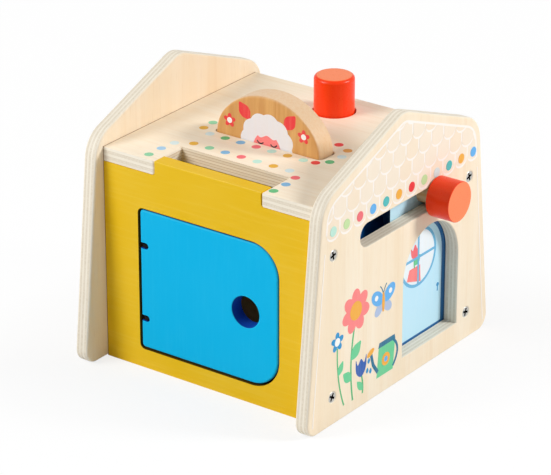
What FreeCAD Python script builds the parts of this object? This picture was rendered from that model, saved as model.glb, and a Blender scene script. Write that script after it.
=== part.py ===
"""Wooden pop up animal toy: a play house with a pop up figure, a hinged door and a sliding door.

Frame: X to the right, Y to the back, Z up, in millimetres. The origin is on the floor,
midway between the two gables and midway through the depth of the body.
"""
import FreeCAD, Part
import Sketcher
import math
import os
import re

from FreeCAD import Placement, Rotation, Vector

doc = FreeCAD.newDocument("pop_up_toy")
sheet = doc.addObject("Spreadsheet::Sheet", "sizes")

# Driving sizes: name, value, what it measures. Lengths in millimetres, angles in degrees.
SIZES = [
    ("inner_width", 154, "clear width between the two gables"),
    ("body_depth", 151, "front face of the front panel to back face of the back panel"),
    ("deck_height", 137, "top face of the deck above the floor"),
    ("deck_thickness", 9, "plywood of the deck"),
    ("gable_thickness", 9, "plywood of the gables"),
    ("front_thickness", 10, "painted front panel"),
    ("back_thickness", 9, "plywood of the back panel"),
    ("base_thickness", 9, "plywood of the base"),
    ("housing_depth", 3, "how far the deck is let into each gable"),
    ("glue_gap", 0.05, "gap all round a glued joint"),
    ("gable_foot_reach", 20.7, "gable foot beyond the body, front and back"),
    ("gable_eaves_reach", 5.7, "gable eaves beyond the body, front and back"),
    ("eaves_height", 142.6, "corner between gable side and roof slope, before rounding"),
    ("apex_height", 173.5, "top of the gable, before rounding"),
    ("eaves_radius", 20, "rounded eaves"),
    ("apex_radius", 16, "rounded apex"),
    ("foot_radius", 9, "rounded corners of the gable foot"),
    ("gable_edge_round", 1.5, "softened edges of the gables"),
    ("panel_edge_round", 0.6, "softened edges of panels and openings"),
    ("tab_width", 77, "tab at the top of the front panel"),
    ("tab_gap", 0.3, "tab to the sides of the deck's notch"),
    ("tab_root_round", 2, "inner corners beside the tab"),
    ("notch_depth", 27, "front notch of the deck, tab and posting slot together"),
    ("door_hinge_side", 26.5, "left gable to the hinge edge of the blue door"),
    ("door_free_side", 26.5, "right gable to the free edge of the blue door"),
    ("door_bottom", 13.5, "lower edge of the blue door"),
    ("door_height", 90, "blue door"),
    ("door_thickness", 9.5, "blue door"),
    ("door_gap", 1.2, "gap round the blue door"),
    ("door_free_radius", 19, "rounded corners at the free side of the door"),
    ("door_hinge_radius", 2.5, "rounded corners at the hinge side of the door"),
    ("door_hinge_edge_round", 1.5, "front arris of the hinge edge, which swings past the frame"),
    ("finger_hole_inset", 23.5, "free edge of the door to the centre of the finger hole"),
    ("finger_hole_rise", 44.5, "lower edge of the door to the centre of the finger hole"),
    ("finger_hole_radius", 10, "finger hole"),
    ("hinge_pin_radius", 1.25, "steel pin"),
    ("hinge_pin_inset", 3.1, "pin axis inside the hinge edge"),
    ("hinge_pin_depth", 2.8, "pin axis behind the door's face"),
    ("hinge_pin_short", 1, "pin end below the door's edge, top and bottom"),
    ("overcut", 3, "how far a cutting outline passes the piece that it cuts"),
    ("running_gap", 0.08, "radial gap of a pin that turns in its eye or bore"),
    ("eye_upper_drop", 23, "upper hinge eye below the top of the door"),
    ("eye_lower_rise", 19.5, "lower hinge eye above the foot of the door"),
    ("eye_ring_radius", 2.7, "outside of the eye's ring"),
    ("eye_thickness", 2.4, "eye's ring, along the pin"),
    ("eye_shank_radius", 1.1, "eye's shank"),
    ("eye_shank_length", 12, "shank inside the front panel"),
    ("eye_notch_height", 4, "notch in the hinge edge"),
    ("eye_notch_gap", 0.4, "end of the notch beyond the eye's ring"),
    ("moving_gap", 0.3, "gap between a moving piece and what it rests on"),
    ("stop_lap", 2.5, "lap of the batten behind the free edge of the door"),
    ("stop_side_gap", 1.8, "batten to the blue board beside it"),
    ("stop_thickness", 8, "batten's depth"),
    ("stop_short", 10, "batten's end below the door's top, and above its foot"),
    ("figure_width", 75.2, "pop up figure above its foot"),
    ("figure_thickness", 15, "pop up figure"),
    ("figure_front", 58.5, "front of the body to the face of the figure"),
    ("figure_rise", 30.3, "figure above the deck at rest"),
    ("figure_shoulder", 24, "radius of the figure's shoulders"),
    ("figure_arris", 1.6, "softened arrises of the figure"),
    ("figure_slot_gap", 2, "figure's slot beyond the figure, at each end"),
    ("figure_slot_side_gap", 0.6, "figure's slot beyond the figure, front and back"),
    ("figure_slot_radius", 4, "corners of the figure's slot"),
    ("foot_width", 86, "foot of the figure, held in its guides"),
    ("foot_height", 6, "foot of the figure"),
    ("foot_bevel", 4.2, "bevel under the foot's rear edge, clear of the tilted lever"),
    ("guide_side_gap", 0.6, "guide to the side of the figure"),
    ("guide_groove_gap", 0.3, "guide groove to the foot"),
    ("guide_wall", 4.9, "guide outside its groove"),
    ("guide_cheek", 7, "guide beside its groove, front and back"),
    ("guide_sill", 6, "guide below the foot"),
    ("travel", 20, "how far the peg goes down and the figure goes up"),
    ("peg_radius", 12.5, "push peg"),
    ("peg_back_gap", 2.4, "peg to the back panel"),
    ("peg_rise", 23.3, "peg above the deck at rest"),
    ("peg_top_round", 2.5, "rounded top edge of the peg"),
    ("peg_hole_gap", 0.9, "hole in the deck beyond the peg"),
    ("peg_tip_radius", 3.8, "flat tip below the peg's taper"),
    ("dowel_radius", 3, "stop dowel across the peg"),
    ("dowel_length", 36, "stop dowel"),
    ("peg_below_dowel", 3.4, "peg below its stop dowel, down to its tip"),
    ("lever_width", 12, "lever, across"),
    ("lever_thickness", 5, "lever between its boss and its noses"),
    ("lever_nose_radius", 4, "round noses of the lever, under the peg and the figure"),
    ("lever_hub_radius", 7, "round boss of the lever at its pivot"),
    ("pivot_radius", 2, "steel pin of the lever"),
    ("hanger_gap", 0.4, "lever to each hanger"),
    ("hanger_thickness", 8, "hanger, across"),
    ("hanger_radius", 8, "round lower end of a hanger"),
    ("slider_gap", 0.6, "sliding door to gable"),
    ("slider_thickness", 5, "sliding door"),
    ("slider_end_gap", 0.4, "sliding door to back panel at rest, and to front panel when open"),
    ("slider_width", 65.6, "sliding door"),
    ("slider_top_gap", 2.7, "sliding door to deck"),
    ("knob_from_slider_edge", 33.5, "front edge of the sliding door to the knob's axis"),
    ("knob_drop", 28, "knob's axis below the top of the deck"),
    ("knob_radius", 12.5, "knob"),
    ("knob_length", 16, "knob"),
    ("knob_gap", 1, "knob to gable"),
    ("knob_arris", 0.5, "edge of the knob"),
    ("spindle_radius", 6, "wooden spindle through the slot"),
    ("spindle_recess", 4, "spindle let into the knob"),
    ("slot_spare_front", 6.15, "slot beyond the spindle with the sliding door open"),
    ("slot_spare_back", 3.75, "slot beyond the spindle with the sliding door closed"),
    ("slot_height", 15, "slot for the spindle"),
    ("doorway_lap_front", 1, "sliding door beyond the doorway, at its front"),
    ("doorway_lap_back", 5.6, "sliding door beyond the doorway, at its back"),
    ("doorway_sill", 14.9, "sill of the doorway above the floor"),
    ("doorway_crown_gap", 9.7, "crown of the doorway's arch to the slot over it"),
    ("rail_width", 8, "battens behind the sliding door"),
    ("upper_rail_height", 10, "upper batten"),
    ("lower_rail_height", 11, "lower batten"),
    ("backdrop_thickness", 3, "blue board behind the battens"),
    ("screw_height_low", 18.3, "lower gable screws above the floor"),
    ("screw_drop_high", 28.8, "upper gable screws below the top of the deck"),
    ("screw_radius", 1.8, "screw shank"),
    ("screw_head_radius", 3.5, "countersunk head"),
    ("screw_head_height", 1.8, "countersunk head"),
    ("screw_tip_gap", 2, "tip of a screw to the opening of the blue door"),
    ("screw_sink", 0.3, "head below the gable's face"),
    ("knob_screw_radius", 1.8, "screw that holds the knob"),
    ("knob_screw_head_radius", 3.5, "pan head on the sliding door"),
    ("knob_screw_head_height", 2, "pan head on the sliding door"),
    ("knob_screw_bite", 9, "screw's reach into the knob, past the spindle"),
]

for row, (name, value, meaning) in enumerate(SIZES, start=1):
    sheet.set("A%d" % row, name)
    sheet.set("B%d" % row, str(value))
    sheet.set("C%d" % row, meaning)
    sheet.setAlias("B%d" % row, name)
doc.recompute()

SIZE_NAMES = {name for name, value, meaning in SIZES}

probe = doc.addObject("App::FeaturePython", "probe")
probe.addProperty("App::PropertyFloat", "Reading")


def bound(formula):
    """The formula with every size's name pointed at its cell in the sheet."""
    def point(match):
        word = match.group(0)
        return "sizes." + word if word in SIZE_NAMES else word
    return re.sub(r"[a-z_]+", point, formula)


def number(formula):
    """What a formula over the sheet comes to now."""
    probe.setExpression("Reading", bound(formula))
    probe.recompute()
    return probe.Reading


# Faces and axes that several pieces share, as formulas over the sheet.
FRONT = "(-body_depth / 2)"
BACK = "(body_depth / 2)"
FRONT_INNER = "(-body_depth / 2 + front_thickness)"
BACK_INNER = "(body_depth / 2 - back_thickness)"
SIDE_INNER = "(inner_width / 2)"
SIDE_OUTER = "(inner_width / 2 + gable_thickness)"
DECK_UNDER = "(deck_height - deck_thickness)"
DOOR_LEFT = "(door_hinge_side - inner_width / 2)"
DOOR_RIGHT = "(inner_width / 2 - door_free_side)"
DOOR_TOP = "(door_bottom + door_height)"
EYE_UPPER_Z = "(%s - eye_upper_drop)" % DOOR_TOP
EYE_LOWER_Z = "(door_bottom + eye_lower_rise)"
EYES = (("upper", EYE_UPPER_Z), ("lower", EYE_LOWER_Z))
EYE_NOTCH_DEPTH = "(hinge_pin_inset + eye_ring_radius + eye_notch_gap)"
HINGE_X = "(%s + hinge_pin_inset)" % DOOR_LEFT
DOOR_REAR = "(%s - moving_gap)" % FRONT_INNER
DOOR_FACE = "(%s - door_thickness)" % DOOR_REAR
HINGE_Y = "(%s + hinge_pin_depth)" % DOOR_FACE
FIGURE_FACE = "(-body_depth / 2 + figure_front)"
FIGURE_REAR = "(-body_depth / 2 + figure_front + figure_thickness)"
FIGURE_Y = "(-body_depth / 2 + figure_front + figure_thickness / 2)"
PEG_Y = "(%s - peg_back_gap - peg_radius)" % BACK_INNER
PIVOT_Y = "((%s + %s) / 2)" % (FIGURE_Y, PEG_Y)
LEVER_ARM = "((%s - %s) / 2)" % (PEG_Y, FIGURE_Y)
LEVER_TILT = "(asin(travel / 2 / %s))" % LEVER_ARM
DOWEL_Z = "(%s - moving_gap - dowel_radius)" % DECK_UNDER
PEG_FOOT = "(%s - dowel_radius - peg_below_dowel)" % DOWEL_Z
PIVOT_Z = "(%s - moving_gap - lever_nose_radius - travel / 2)" % PEG_FOOT
FIGURE_FOOT = "(%s - travel / 2 + lever_nose_radius + moving_gap)" % PIVOT_Z
PEG_TAPER = "((peg_radius - peg_tip_radius) * tan(%s) + moving_gap)" % LEVER_TILT
FOOT_BEVEL_RISE = "(foot_bevel * tan(%s) + moving_gap)" % LEVER_TILT
SLIDER_OUTER = "(inner_width / 2 - slider_gap)"
SLIDER_INNER = "(inner_width / 2 - slider_gap - slider_thickness)"
SLIDER_BACK = "(body_depth / 2 - back_thickness - slider_end_gap)"
SLIDER_FRONT = "(%s - slider_width)" % SLIDER_BACK
SLIDER_FOOT = "(base_thickness + moving_gap)"
SLIDER_TOP = "(%s - slider_top_gap)" % DECK_UNDER
KNOB_Y = "(%s + knob_from_slider_edge)" % SLIDER_FRONT
KNOB_Z = "(deck_height - knob_drop)"
KNOB_INNER = "(inner_width / 2 + gable_thickness + knob_gap)"
RAIL_OUTER = "(%s - slider_gap)" % SLIDER_INNER
RAIL_INNER = "(%s - rail_width)" % RAIL_OUTER
BACKDROP_INNER = "(%s - backdrop_thickness)" % RAIL_INNER
SLIDER_TRAVEL = "(%s - %s - slider_end_gap)" % (SLIDER_FRONT, FRONT_INNER)
SLOT_FRONT = "(%s - %s - spindle_radius - slot_spare_front)" % (KNOB_Y, SLIDER_TRAVEL)
SLOT_BACK = "(%s + spindle_radius + slot_spare_back)" % KNOB_Y
DOORWAY_FRONT = "(%s + doorway_lap_front)" % SLIDER_FRONT
DOORWAY_BACK = "(%s - doorway_lap_back)" % SLIDER_BACK
DOORWAY_CROWN = "(%s - slot_height / 2 - doorway_crown_gap)" % KNOB_Z
DOORWAY_SPRING = "(%s - (%s - %s) / 2)" % (DOORWAY_CROWN, DOORWAY_BACK, DOORWAY_FRONT)
SCREW_FRONT_Y = "(-body_depth / 2 + front_thickness / 2)"
SCREW_BACK_Y = "(body_depth / 2 - back_thickness / 2)"
SCREW_HIGH_Z = "(deck_height - screw_drop_high)"
SCREW_TIP_X = "(%s + door_gap + screw_tip_gap)" % DOOR_RIGHT
SCREW_LENGTH = "(%s - screw_sink - %s)" % (SIDE_OUTER, SCREW_TIP_X)

# Sketch planes of a body's origin: role, and the sign of the plane's normal on its axis.
PLANES = {"XY": ("XY_Plane", 1), "XZ": ("XZ_Plane", -1), "YZ": ("YZ_Plane", 1)}


def new_body(label):
    """An empty body with its label and a placement at the shared origin."""
    body = doc.addObject("PartDesign::Body", label)
    body.Label = label
    body.Placement = Placement()
    return body


def sketch_on(body, plane, name, level):
    """A sketch parallel to one of the body's origin planes, at a level on that plane's axis."""
    role, sign = PLANES[plane]
    sketch = body.newObject("Sketcher::SketchObject", name)
    support = [feature for feature in body.Origin.OriginFeatures if feature.Role == role][0]
    sketch.AttachmentSupport = [(support, "")]
    sketch.MapMode = "FlatFace"
    offset = level if sign > 0 else "-1 * (%s)" % level
    sketch.setExpression("AttachmentOffset.Base.z", bound(offset))
    return sketch


def pin_point(sketch, geometry, point, x, y):
    """Hold a sketch point at formulas for its distances from the sketch's origin."""
    for kind, formula in (("DistanceX", x), ("DistanceY", y)):
        value = number(formula)
        index = sketch.addConstraint(Sketcher.Constraint(kind, -1, 1, geometry, point, value))
        name = "%s_%d" % (kind.lower(), index)
        sketch.renameConstraint(index, name)
        sketch.setExpression("Constraints." + name, bound(formula))


def set_radius(sketch, geometry, radius):
    """Tie a circle's or an arc's radius to a formula."""
    index = sketch.addConstraint(Sketcher.Constraint("Radius", geometry, number(radius)))
    name = "radius_%d" % index
    sketch.renameConstraint(index, name)
    sketch.setExpression("Constraints." + name, bound(radius))


def draw_outline(sketch, corners):
    """A closed outline through corners (x, y, radius), in order round it; radius None is sharp."""
    spots = [Vector(number(x), number(y), 0) for x, y, radius in corners]
    rounds = [number(radius) if radius else 0 for x, y, radius in corners]
    count = len(corners)
    starts, ends = [], []
    for i, spot in enumerate(spots):
        before = (spots[i - 1] - spot).normalize()
        after = (spots[(i + 1) % count] - spot).normalize()
        reach = rounds[i] / math.tan(before.getAngle(after) / 2)
        ends.append(spot + before * reach)
        starts.append(spot + after * reach)
    lines = []
    for i in range(count):
        lines.append(sketch.addGeometry(Part.LineSegment(starts[i], ends[(i + 1) % count])))
    for i, (x, y, radius) in enumerate(corners):
        into, away = lines[i - 1], lines[i]
        if not radius:
            sketch.addConstraint(Sketcher.Constraint("Coincident", into, 2, away, 1))
            pin_point(sketch, away, 1, x, y)
            continue
        before = (spots[i - 1] - spots[i]).normalize()
        after = (spots[(i + 1) % count] - spots[i]).normalize()
        middle = (before + after).normalize()
        centre = spots[i] + middle * (rounds[i] / math.sin(before.getAngle(after) / 2))
        turns_left = before.cross(after).z < 0
        first, last = (ends[i], starts[i]) if turns_left else (starts[i], ends[i])
        low = math.atan2(first.y - centre.y, first.x - centre.x)
        high = math.atan2(last.y - centre.y, last.x - centre.x)
        circle = Part.Circle(centre, Vector(0, 0, 1), rounds[i])
        arc = sketch.addGeometry(Part.ArcOfCircle(circle, low, high))
        near, far = (1, 2) if turns_left else (2, 1)
        sketch.addConstraint(Sketcher.Constraint("Tangent", into, 2, arc, near))
        sketch.addConstraint(Sketcher.Constraint("Tangent", arc, far, away, 1))
        set_radius(sketch, arc, radius)
        corner = sketch.addGeometry(Part.Point(spots[i]), True)
        sketch.addConstraint(Sketcher.Constraint("PointOnObject", corner, 1, into))
        sketch.addConstraint(Sketcher.Constraint("PointOnObject", corner, 1, away))
        pin_point(sketch, corner, 1, x, y)


def draw_rectangle(sketch, x_low, x_high, y_low, y_high, radius=None):
    """A rectangle, with equal round corners where a radius is given."""
    draw_outline(sketch, [
        (x_low, y_low, radius),
        (x_high, y_low, radius),
        (x_high, y_high, radius),
        (x_low, y_high, radius),
    ])


def draw_circle(sketch, x, y, radius):
    """A full circle."""
    centre = Vector(number(x), number(y), 0)
    circle = sketch.addGeometry(Part.Circle(centre, Vector(0, 0, 1), number(radius)))
    pin_point(sketch, circle, 3, x, y)
    set_radius(sketch, circle, radius)


def draw_slot(sketch, x_low, x_high, y_mid, radius):
    """A slot along the sketch's X axis; x_low and x_high are the centres of its round ends."""
    left = Vector(number(x_low), number(y_mid), 0)
    right = Vector(number(x_high), number(y_mid), 0)
    size = number(radius)
    up = Vector(0, size, 0)
    lower = sketch.addGeometry(Part.LineSegment(left - up, right - up))
    upper = sketch.addGeometry(Part.LineSegment(right + up, left + up))
    far = Part.ArcOfCircle(Part.Circle(right, Vector(0, 0, 1), size), -math.pi / 2, math.pi / 2)
    near = Part.ArcOfCircle(Part.Circle(left, Vector(0, 0, 1), size), math.pi / 2, 3 * math.pi / 2)
    far_end = sketch.addGeometry(far)
    near_end = sketch.addGeometry(near)
    sketch.addConstraint(Sketcher.Constraint("Tangent", lower, 2, far_end, 1))
    sketch.addConstraint(Sketcher.Constraint("Tangent", far_end, 2, upper, 1))
    sketch.addConstraint(Sketcher.Constraint("Tangent", upper, 2, near_end, 1))
    sketch.addConstraint(Sketcher.Constraint("Tangent", near_end, 2, lower, 1))
    pin_point(sketch, far_end, 3, x_high, y_mid)
    pin_point(sketch, near_end, 3, x_low, y_mid)
    set_radius(sketch, near_end, radius)


def draw_arch(sketch, x_low, x_high, y_low, y_spring):
    """A doorway: a flat sill, two upright jambs and a half circle over them."""
    middle = "(%s + %s) / 2" % (x_low, x_high)
    left, right = number(x_low), number(x_high)
    sill, spring = number(y_low), number(y_spring)
    centre = Vector(number(middle), spring, 0)
    radius = (right - left) / 2
    bottom = sketch.addGeometry(Part.LineSegment(Vector(left, sill, 0), Vector(right, sill, 0)))
    jamb = sketch.addGeometry(Part.LineSegment(Vector(right, sill, 0), Vector(right, spring, 0)))
    head = sketch.addGeometry(
        Part.ArcOfCircle(Part.Circle(centre, Vector(0, 0, 1), radius), 0, math.pi))
    other = sketch.addGeometry(Part.LineSegment(Vector(left, spring, 0), Vector(left, sill, 0)))
    sketch.addConstraint(Sketcher.Constraint("Coincident", bottom, 2, jamb, 1))
    sketch.addConstraint(Sketcher.Constraint("Tangent", jamb, 2, head, 1))
    sketch.addConstraint(Sketcher.Constraint("Tangent", head, 2, other, 1))
    sketch.addConstraint(Sketcher.Constraint("Coincident", other, 2, bottom, 1))
    sketch.addConstraint(Sketcher.Constraint("Vertical", jamb))
    pin_point(sketch, bottom, 1, x_low, y_low)
    pin_point(sketch, bottom, 2, x_high, y_low)
    pin_point(sketch, head, 3, middle, y_spring)


def pad_between(body, plane, name, low, high, draw):
    """Pad what draw() puts on the sketch from low to high on the plane's axis."""
    sign = PLANES[plane][1]
    sketch = sketch_on(body, plane, name + "_sketch", low if sign > 0 else high)
    draw(sketch)
    doc.recompute()
    pad = body.newObject("PartDesign::Pad", name)
    pad.Profile = sketch
    pad.setExpression("Length", bound("(%s) - (%s)" % (high, low)))
    doc.recompute()
    return pad


def pocket_between(body, plane, name, low, high, draw):
    """Cut what draw() puts on the sketch from low to high, and see that it does cut."""
    before = body.Tip.Shape.Volume
    sign = PLANES[plane][1]
    sketch = sketch_on(body, plane, name + "_sketch", high if sign > 0 else low)
    draw(sketch)
    doc.recompute()
    pocket = body.newObject("PartDesign::Pocket", name)
    pocket.Profile = sketch
    pocket.setExpression("Length", bound("(%s) - (%s)" % (high, low)))
    doc.recompute()
    if pocket.Shape.Volume > before - 1e-3:
        raise RuntimeError("%s of %s cuts nothing" % (name, body.Label))
    return pocket


def round_edges(body, name, radius, wanted):
    """Fillet the edges of the body's tip for which wanted(edge) holds."""
    base = body.Tip
    chosen = ["Edge%d" % (i + 1) for i, edge in enumerate(base.Shape.Edges) if wanted(edge)]
    if not chosen:
        raise RuntimeError("%s of %s finds no edge" % (name, body.Label))
    fillet = body.newObject("PartDesign::Fillet", name)
    fillet.Base = (base, chosen)
    fillet.setExpression("Radius", bound(radius))
    doc.recompute()
    return fillet


def lies_at(edge, axis, level):
    """True where the whole edge lies in the plane axis = level."""
    box = edge.BoundBox
    low = getattr(box, axis + "Min")
    high = getattr(box, axis + "Max")
    return abs(low - level) < 1e-4 and abs(high - level) < 1e-4


def on_any(axis, *levels):
    """A test for edges that lie in one of the planes axis = level."""
    values = [number(level) for level in levels]
    return lambda edge: any(lies_at(edge, axis, value) for value in values)


def place(piece, x, y, z):
    """Bind the base point of a placement to formulas."""
    for axis, formula in (("x", x), ("y", y), ("z", z)):
        piece.setExpression("Placement.Base." + axis, bound(formula))


def box_between(label, x_low, x_high, y_low, y_high, z_low, z_high):
    """A plain block between six faces."""
    block = doc.addObject("Part::Box", label)
    block.Label = label
    block.setExpression("Length", bound("(%s) - (%s)" % (x_high, x_low)))
    block.setExpression("Width", bound("(%s) - (%s)" % (y_high, y_low)))
    block.setExpression("Height", bound("(%s) - (%s)" % (z_high, z_low)))
    place(block, x_low, y_low, z_low)
    return block


AXIS_TURNS = {
    "+X": Rotation(Vector(0, 1, 0), 90),
    "-X": Rotation(Vector(0, 1, 0), -90),
    "+Z": Rotation(),
}


def cylinder_along(label, axis, x, y, z, radius, length):
    """A round bar that starts at (x, y, z) and runs along an axis."""
    bar = doc.addObject("Part::Cylinder", label)
    bar.Label = label
    bar.setExpression("Radius", bound(radius))
    bar.setExpression("Height", bound(length))
    bar.Placement = Placement(Vector(), AXIS_TURNS[axis])
    place(bar, x, y, z)
    return bar


def cone_along(label, axis, x, y, z, radius_start, radius_end, length):
    """A cone that starts at (x, y, z) and runs along an axis."""
    cone = doc.addObject("Part::Cone", label)
    cone.Label = label
    cone.setExpression("Radius1", bound(radius_start))
    cone.setExpression("Radius2", bound(radius_end))
    cone.setExpression("Height", bound(length))
    cone.Placement = Placement(Vector(), AXIS_TURNS[axis])
    place(cone, x, y, z)
    return cone


def fused(label, parts):
    """Several overlapping solids as one piece."""
    joined = doc.addObject("Part::MultiFuse", label)
    joined.Label = label
    joined.Shapes = parts
    return joined


def cut_from(label, base, tool):
    """One solid less another."""
    result = doc.addObject("Part::Cut", label)
    result.Label = label
    result.Base = base
    result.Tool = tool
    return result


def gable_outline(sketch):
    """House outline in Y and Z: feet wider than the eaves, a low roof, all corners round."""
    foot = "(body_depth / 2 + gable_foot_reach)"
    eaves = "(body_depth / 2 + gable_eaves_reach)"
    draw_outline(sketch, [
        ("-1 * " + foot, "0", "foot_radius"),
        (foot, "0", "foot_radius"),
        (eaves, "eaves_height", "eaves_radius"),
        ("0", "apex_height", "apex_radius"),
        ("-1 * " + eaves, "eaves_height", "eaves_radius"),
    ])


def screw_spots():
    """Y and Z of the four screws in a gable."""
    return [(y, z) for y in (SCREW_FRONT_Y, SCREW_BACK_Y)
            for z in ("screw_height_low", SCREW_HIGH_Z)]


def gable(label, side):
    """A gable board: side is 1 for the right one and -1 for the left one."""
    inner = SIDE_INNER if side > 0 else "(-inner_width / 2)"
    outer = SIDE_OUTER if side > 0 else "(-inner_width / 2 - gable_thickness)"
    low, high = (inner, outer) if side > 0 else (outer, inner)
    body = new_body(label)
    pad_between(body, "YZ", label + "_board", low, high, gable_outline)
    round_edges(body, label + "_soft_edges", "gable_edge_round", on_any("X", inner, outer))

    def housing(sketch):
        draw_rectangle(sketch, FRONT + " - glue_gap", BACK + " + glue_gap",
                       DECK_UNDER + " - glue_gap", "deck_height + glue_gap")

    depth = "(housing_depth + glue_gap)"
    if side > 0:
        pocket_between(body, "YZ", label + "_housing", inner, inner + " + " + depth, housing)
    else:
        pocket_between(body, "YZ", label + "_housing", inner + " - " + depth, inner, housing)

    def shank_holes(sketch):
        for y, z in screw_spots():
            draw_circle(sketch, y, z, "screw_radius + glue_gap")

    pocket_between(body, "YZ", label + "_screw_holes", low, high, shank_holes)
    return body


def countersink(body, side):
    """Cone seats for the heads of the four screws, cut one by one from the outer face."""
    for i, (y, z) in enumerate(screw_spots()):
        before = body.Tip.Shape.Volume
        cone = body.newObject("PartDesign::SubtractiveCone", "%s_seat_%d" % (body.Label, i + 1))
        support = [f for f in body.Origin.OriginFeatures if f.Role == "YZ_Plane"][0]
        cone.AttachmentSupport = [(support, "")]
        cone.MapMode = "FlatFace"
        face = SIDE_OUTER if side > 0 else "(-1 * %s)" % SIDE_OUTER
        depth = "(screw_sink + screw_head_height + glue_gap)"
        start = "%s - %s" % (face, depth) if side > 0 else face
        cone.setExpression("AttachmentOffset.Base.x", bound(y))
        cone.setExpression("AttachmentOffset.Base.y", bound(z))
        cone.setExpression("AttachmentOffset.Base.z", bound(start))
        narrow = "screw_radius + glue_gap"
        wide = "(%s + (screw_head_radius - screw_radius) / screw_head_height * %s)" % (narrow, depth)
        cone.setExpression("Radius1", bound(narrow if side > 0 else wide))
        cone.setExpression("Radius2", bound(wide if side > 0 else narrow))
        cone.setExpression("Height", bound(depth))
        doc.recompute()
        if body.Tip.Shape.Volume > before - 1e-3:
            raise RuntimeError("countersink %d of %s cuts nothing" % (i + 1, body.Label))


def left_gable():
    """Plain left gable with its screws."""
    body = gable("left_gable", -1)
    countersink(body, -1)


def right_gable():
    """Right gable with the spindle's slot and the arched doorway."""
    body = gable("right_gable", 1)
    countersink(body, 1)

    def spindle_slot(sketch):
        draw_slot(sketch, SLOT_FRONT + " + slot_height / 2", SLOT_BACK + " - slot_height / 2",
                  KNOB_Z, "slot_height / 2")

    def doorway(sketch):
        draw_arch(sketch, DOORWAY_FRONT, DOORWAY_BACK, "doorway_sill", DOORWAY_SPRING)

    pocket_between(body, "YZ", "spindle_slot", SIDE_INNER, SIDE_OUTER, spindle_slot)
    pocket_between(body, "YZ", "doorway", SIDE_INNER, SIDE_OUTER, doorway)
    face = number(SIDE_OUTER)
    widest_screw_seat = number("2 * screw_head_radius + 1")
    low_z = number("doorway_sill") - 1
    high_z = number(KNOB_Z + " + slot_height / 2") + 1
    front_y = number(SLOT_FRONT) - 1
    back_y = max(number(SLOT_BACK), number(DOORWAY_BACK)) + 1

    def round_opening(edge):
        box = edge.BoundBox
        inside = box.ZMin > low_z and box.ZMax < high_z and box.YMin > front_y and box.YMax < back_y
        wide = max(box.YLength, box.ZLength) > widest_screw_seat
        return lies_at(edge, "X", face) and inside and wide

    round_edges(body, "opening_edges", "panel_edge_round", round_opening)


def top_panel():
    """Deck, let into both gables, with the front notch, the figure's slot and the peg's hole."""
    body = new_body("top_panel")
    reach = "(inner_width / 2 + housing_depth)"

    def board(sketch):
        draw_rectangle(sketch, "-1 * " + reach, reach, FRONT, BACK)

    pad_between(body, "XY", "deck_board", DECK_UNDER, "deck_height", board)
    round_edges(body, "deck_front_edge", "panel_edge_round", on_any("Y", FRONT, BACK))
    half_notch = "(tab_width / 2 + tab_gap)"

    def notch(sketch):
        draw_rectangle(sketch, "-1 * " + half_notch, half_notch, FRONT + " - overcut",
                       FRONT + " + notch_depth")

    pocket_between(body, "XY", "front_notch", DECK_UNDER, "deck_height", notch)
    under = number(DECK_UNDER)
    half = number(half_notch)
    front_limit = number(FRONT + " + notch_depth")

    def below_notch_side(edge):
        at_side = lies_at(edge, "X", half) or lies_at(edge, "X", -half)
        return at_side and lies_at(edge, "Z", under) and edge.BoundBox.YMax < front_limit + 1

    round_edges(body, "notch_lower_edges", "tab_root_round - tab_gap", below_notch_side)
    half_slot = "(figure_width / 2 + figure_slot_gap)"

    def figure_slot(sketch):
        draw_rectangle(sketch, "-1 * " + half_slot, half_slot,
                       FIGURE_FACE + " - figure_slot_side_gap",
                       FIGURE_REAR + " + figure_slot_side_gap", "figure_slot_radius")

    def peg_hole(sketch):
        draw_circle(sketch, "0", PEG_Y, "peg_radius + peg_hole_gap")

    pocket_between(body, "XY", "figure_slot", DECK_UNDER, "deck_height", figure_slot)
    pocket_between(body, "XY", "peg_hole", DECK_UNDER, "deck_height", peg_hole)
    top = number("deck_height")
    notch_back = number(FRONT + " + notch_depth") + 1
    back_limit = number(BACK) - 1
    side_limit = number(SIDE_INNER)

    def hole_arris(edge):
        box = edge.BoundBox
        return lies_at(edge, "Z", top) and box.YMin > notch_back and box.YMax < back_limit \
            and abs(box.XMax) < side_limit

    round_edges(body, "hole_arrises", "panel_edge_round / 2", hole_arris)


def front_panel():
    """Yellow front: full width below the deck, a tab between the deck's front corners."""
    body = new_body("front_panel")
    half = "(inner_width / 2 - glue_gap)"
    shoulder = "(%s - glue_gap)" % DECK_UNDER

    def board(sketch):
        draw_outline(sketch, [
            ("-1 * " + half, "0", None),
            (half, "0", None),
            (half, shoulder, None),
            ("tab_width / 2", shoulder, "tab_root_round"),
            ("tab_width / 2", "deck_height", None),
            ("-tab_width / 2", "deck_height", None),
            ("-tab_width / 2", shoulder, "tab_root_round"),
            ("-1 * " + half, shoulder, None),
        ])

    pad_between(body, "XZ", "front_board", FRONT, FRONT_INNER, board)
    tab_top = number("deck_height")
    round_edges(body, "tab_top_edges", "panel_edge_round",
                lambda edge: lies_at(edge, "Z", tab_top) and edge.BoundBox.XLength > 20)

    def door_opening(sketch):
        free = "door_free_radius + door_gap"
        hinge = "door_hinge_radius + door_gap"
        draw_outline(sketch, [
            (DOOR_LEFT + " - door_gap", "door_bottom - door_gap", hinge),
            (DOOR_RIGHT + " + door_gap", "door_bottom - door_gap", free),
            (DOOR_RIGHT + " + door_gap", DOOR_TOP + " + door_gap", free),
            (DOOR_LEFT + " - door_gap", DOOR_TOP + " + door_gap", hinge),
        ])

    pocket_between(body, "XZ", "door_opening", FRONT, FRONT_INNER, door_opening)
    screw_pilots(body, SCREW_FRONT_Y)
    for name, level in EYES:
        drill_along_x(body, "eye_pilot_" + name, DOOR_LEFT + " - door_gap - eye_shank_length",
                      DOOR_LEFT, HINGE_Y, level, "eye_shank_radius")


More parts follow.
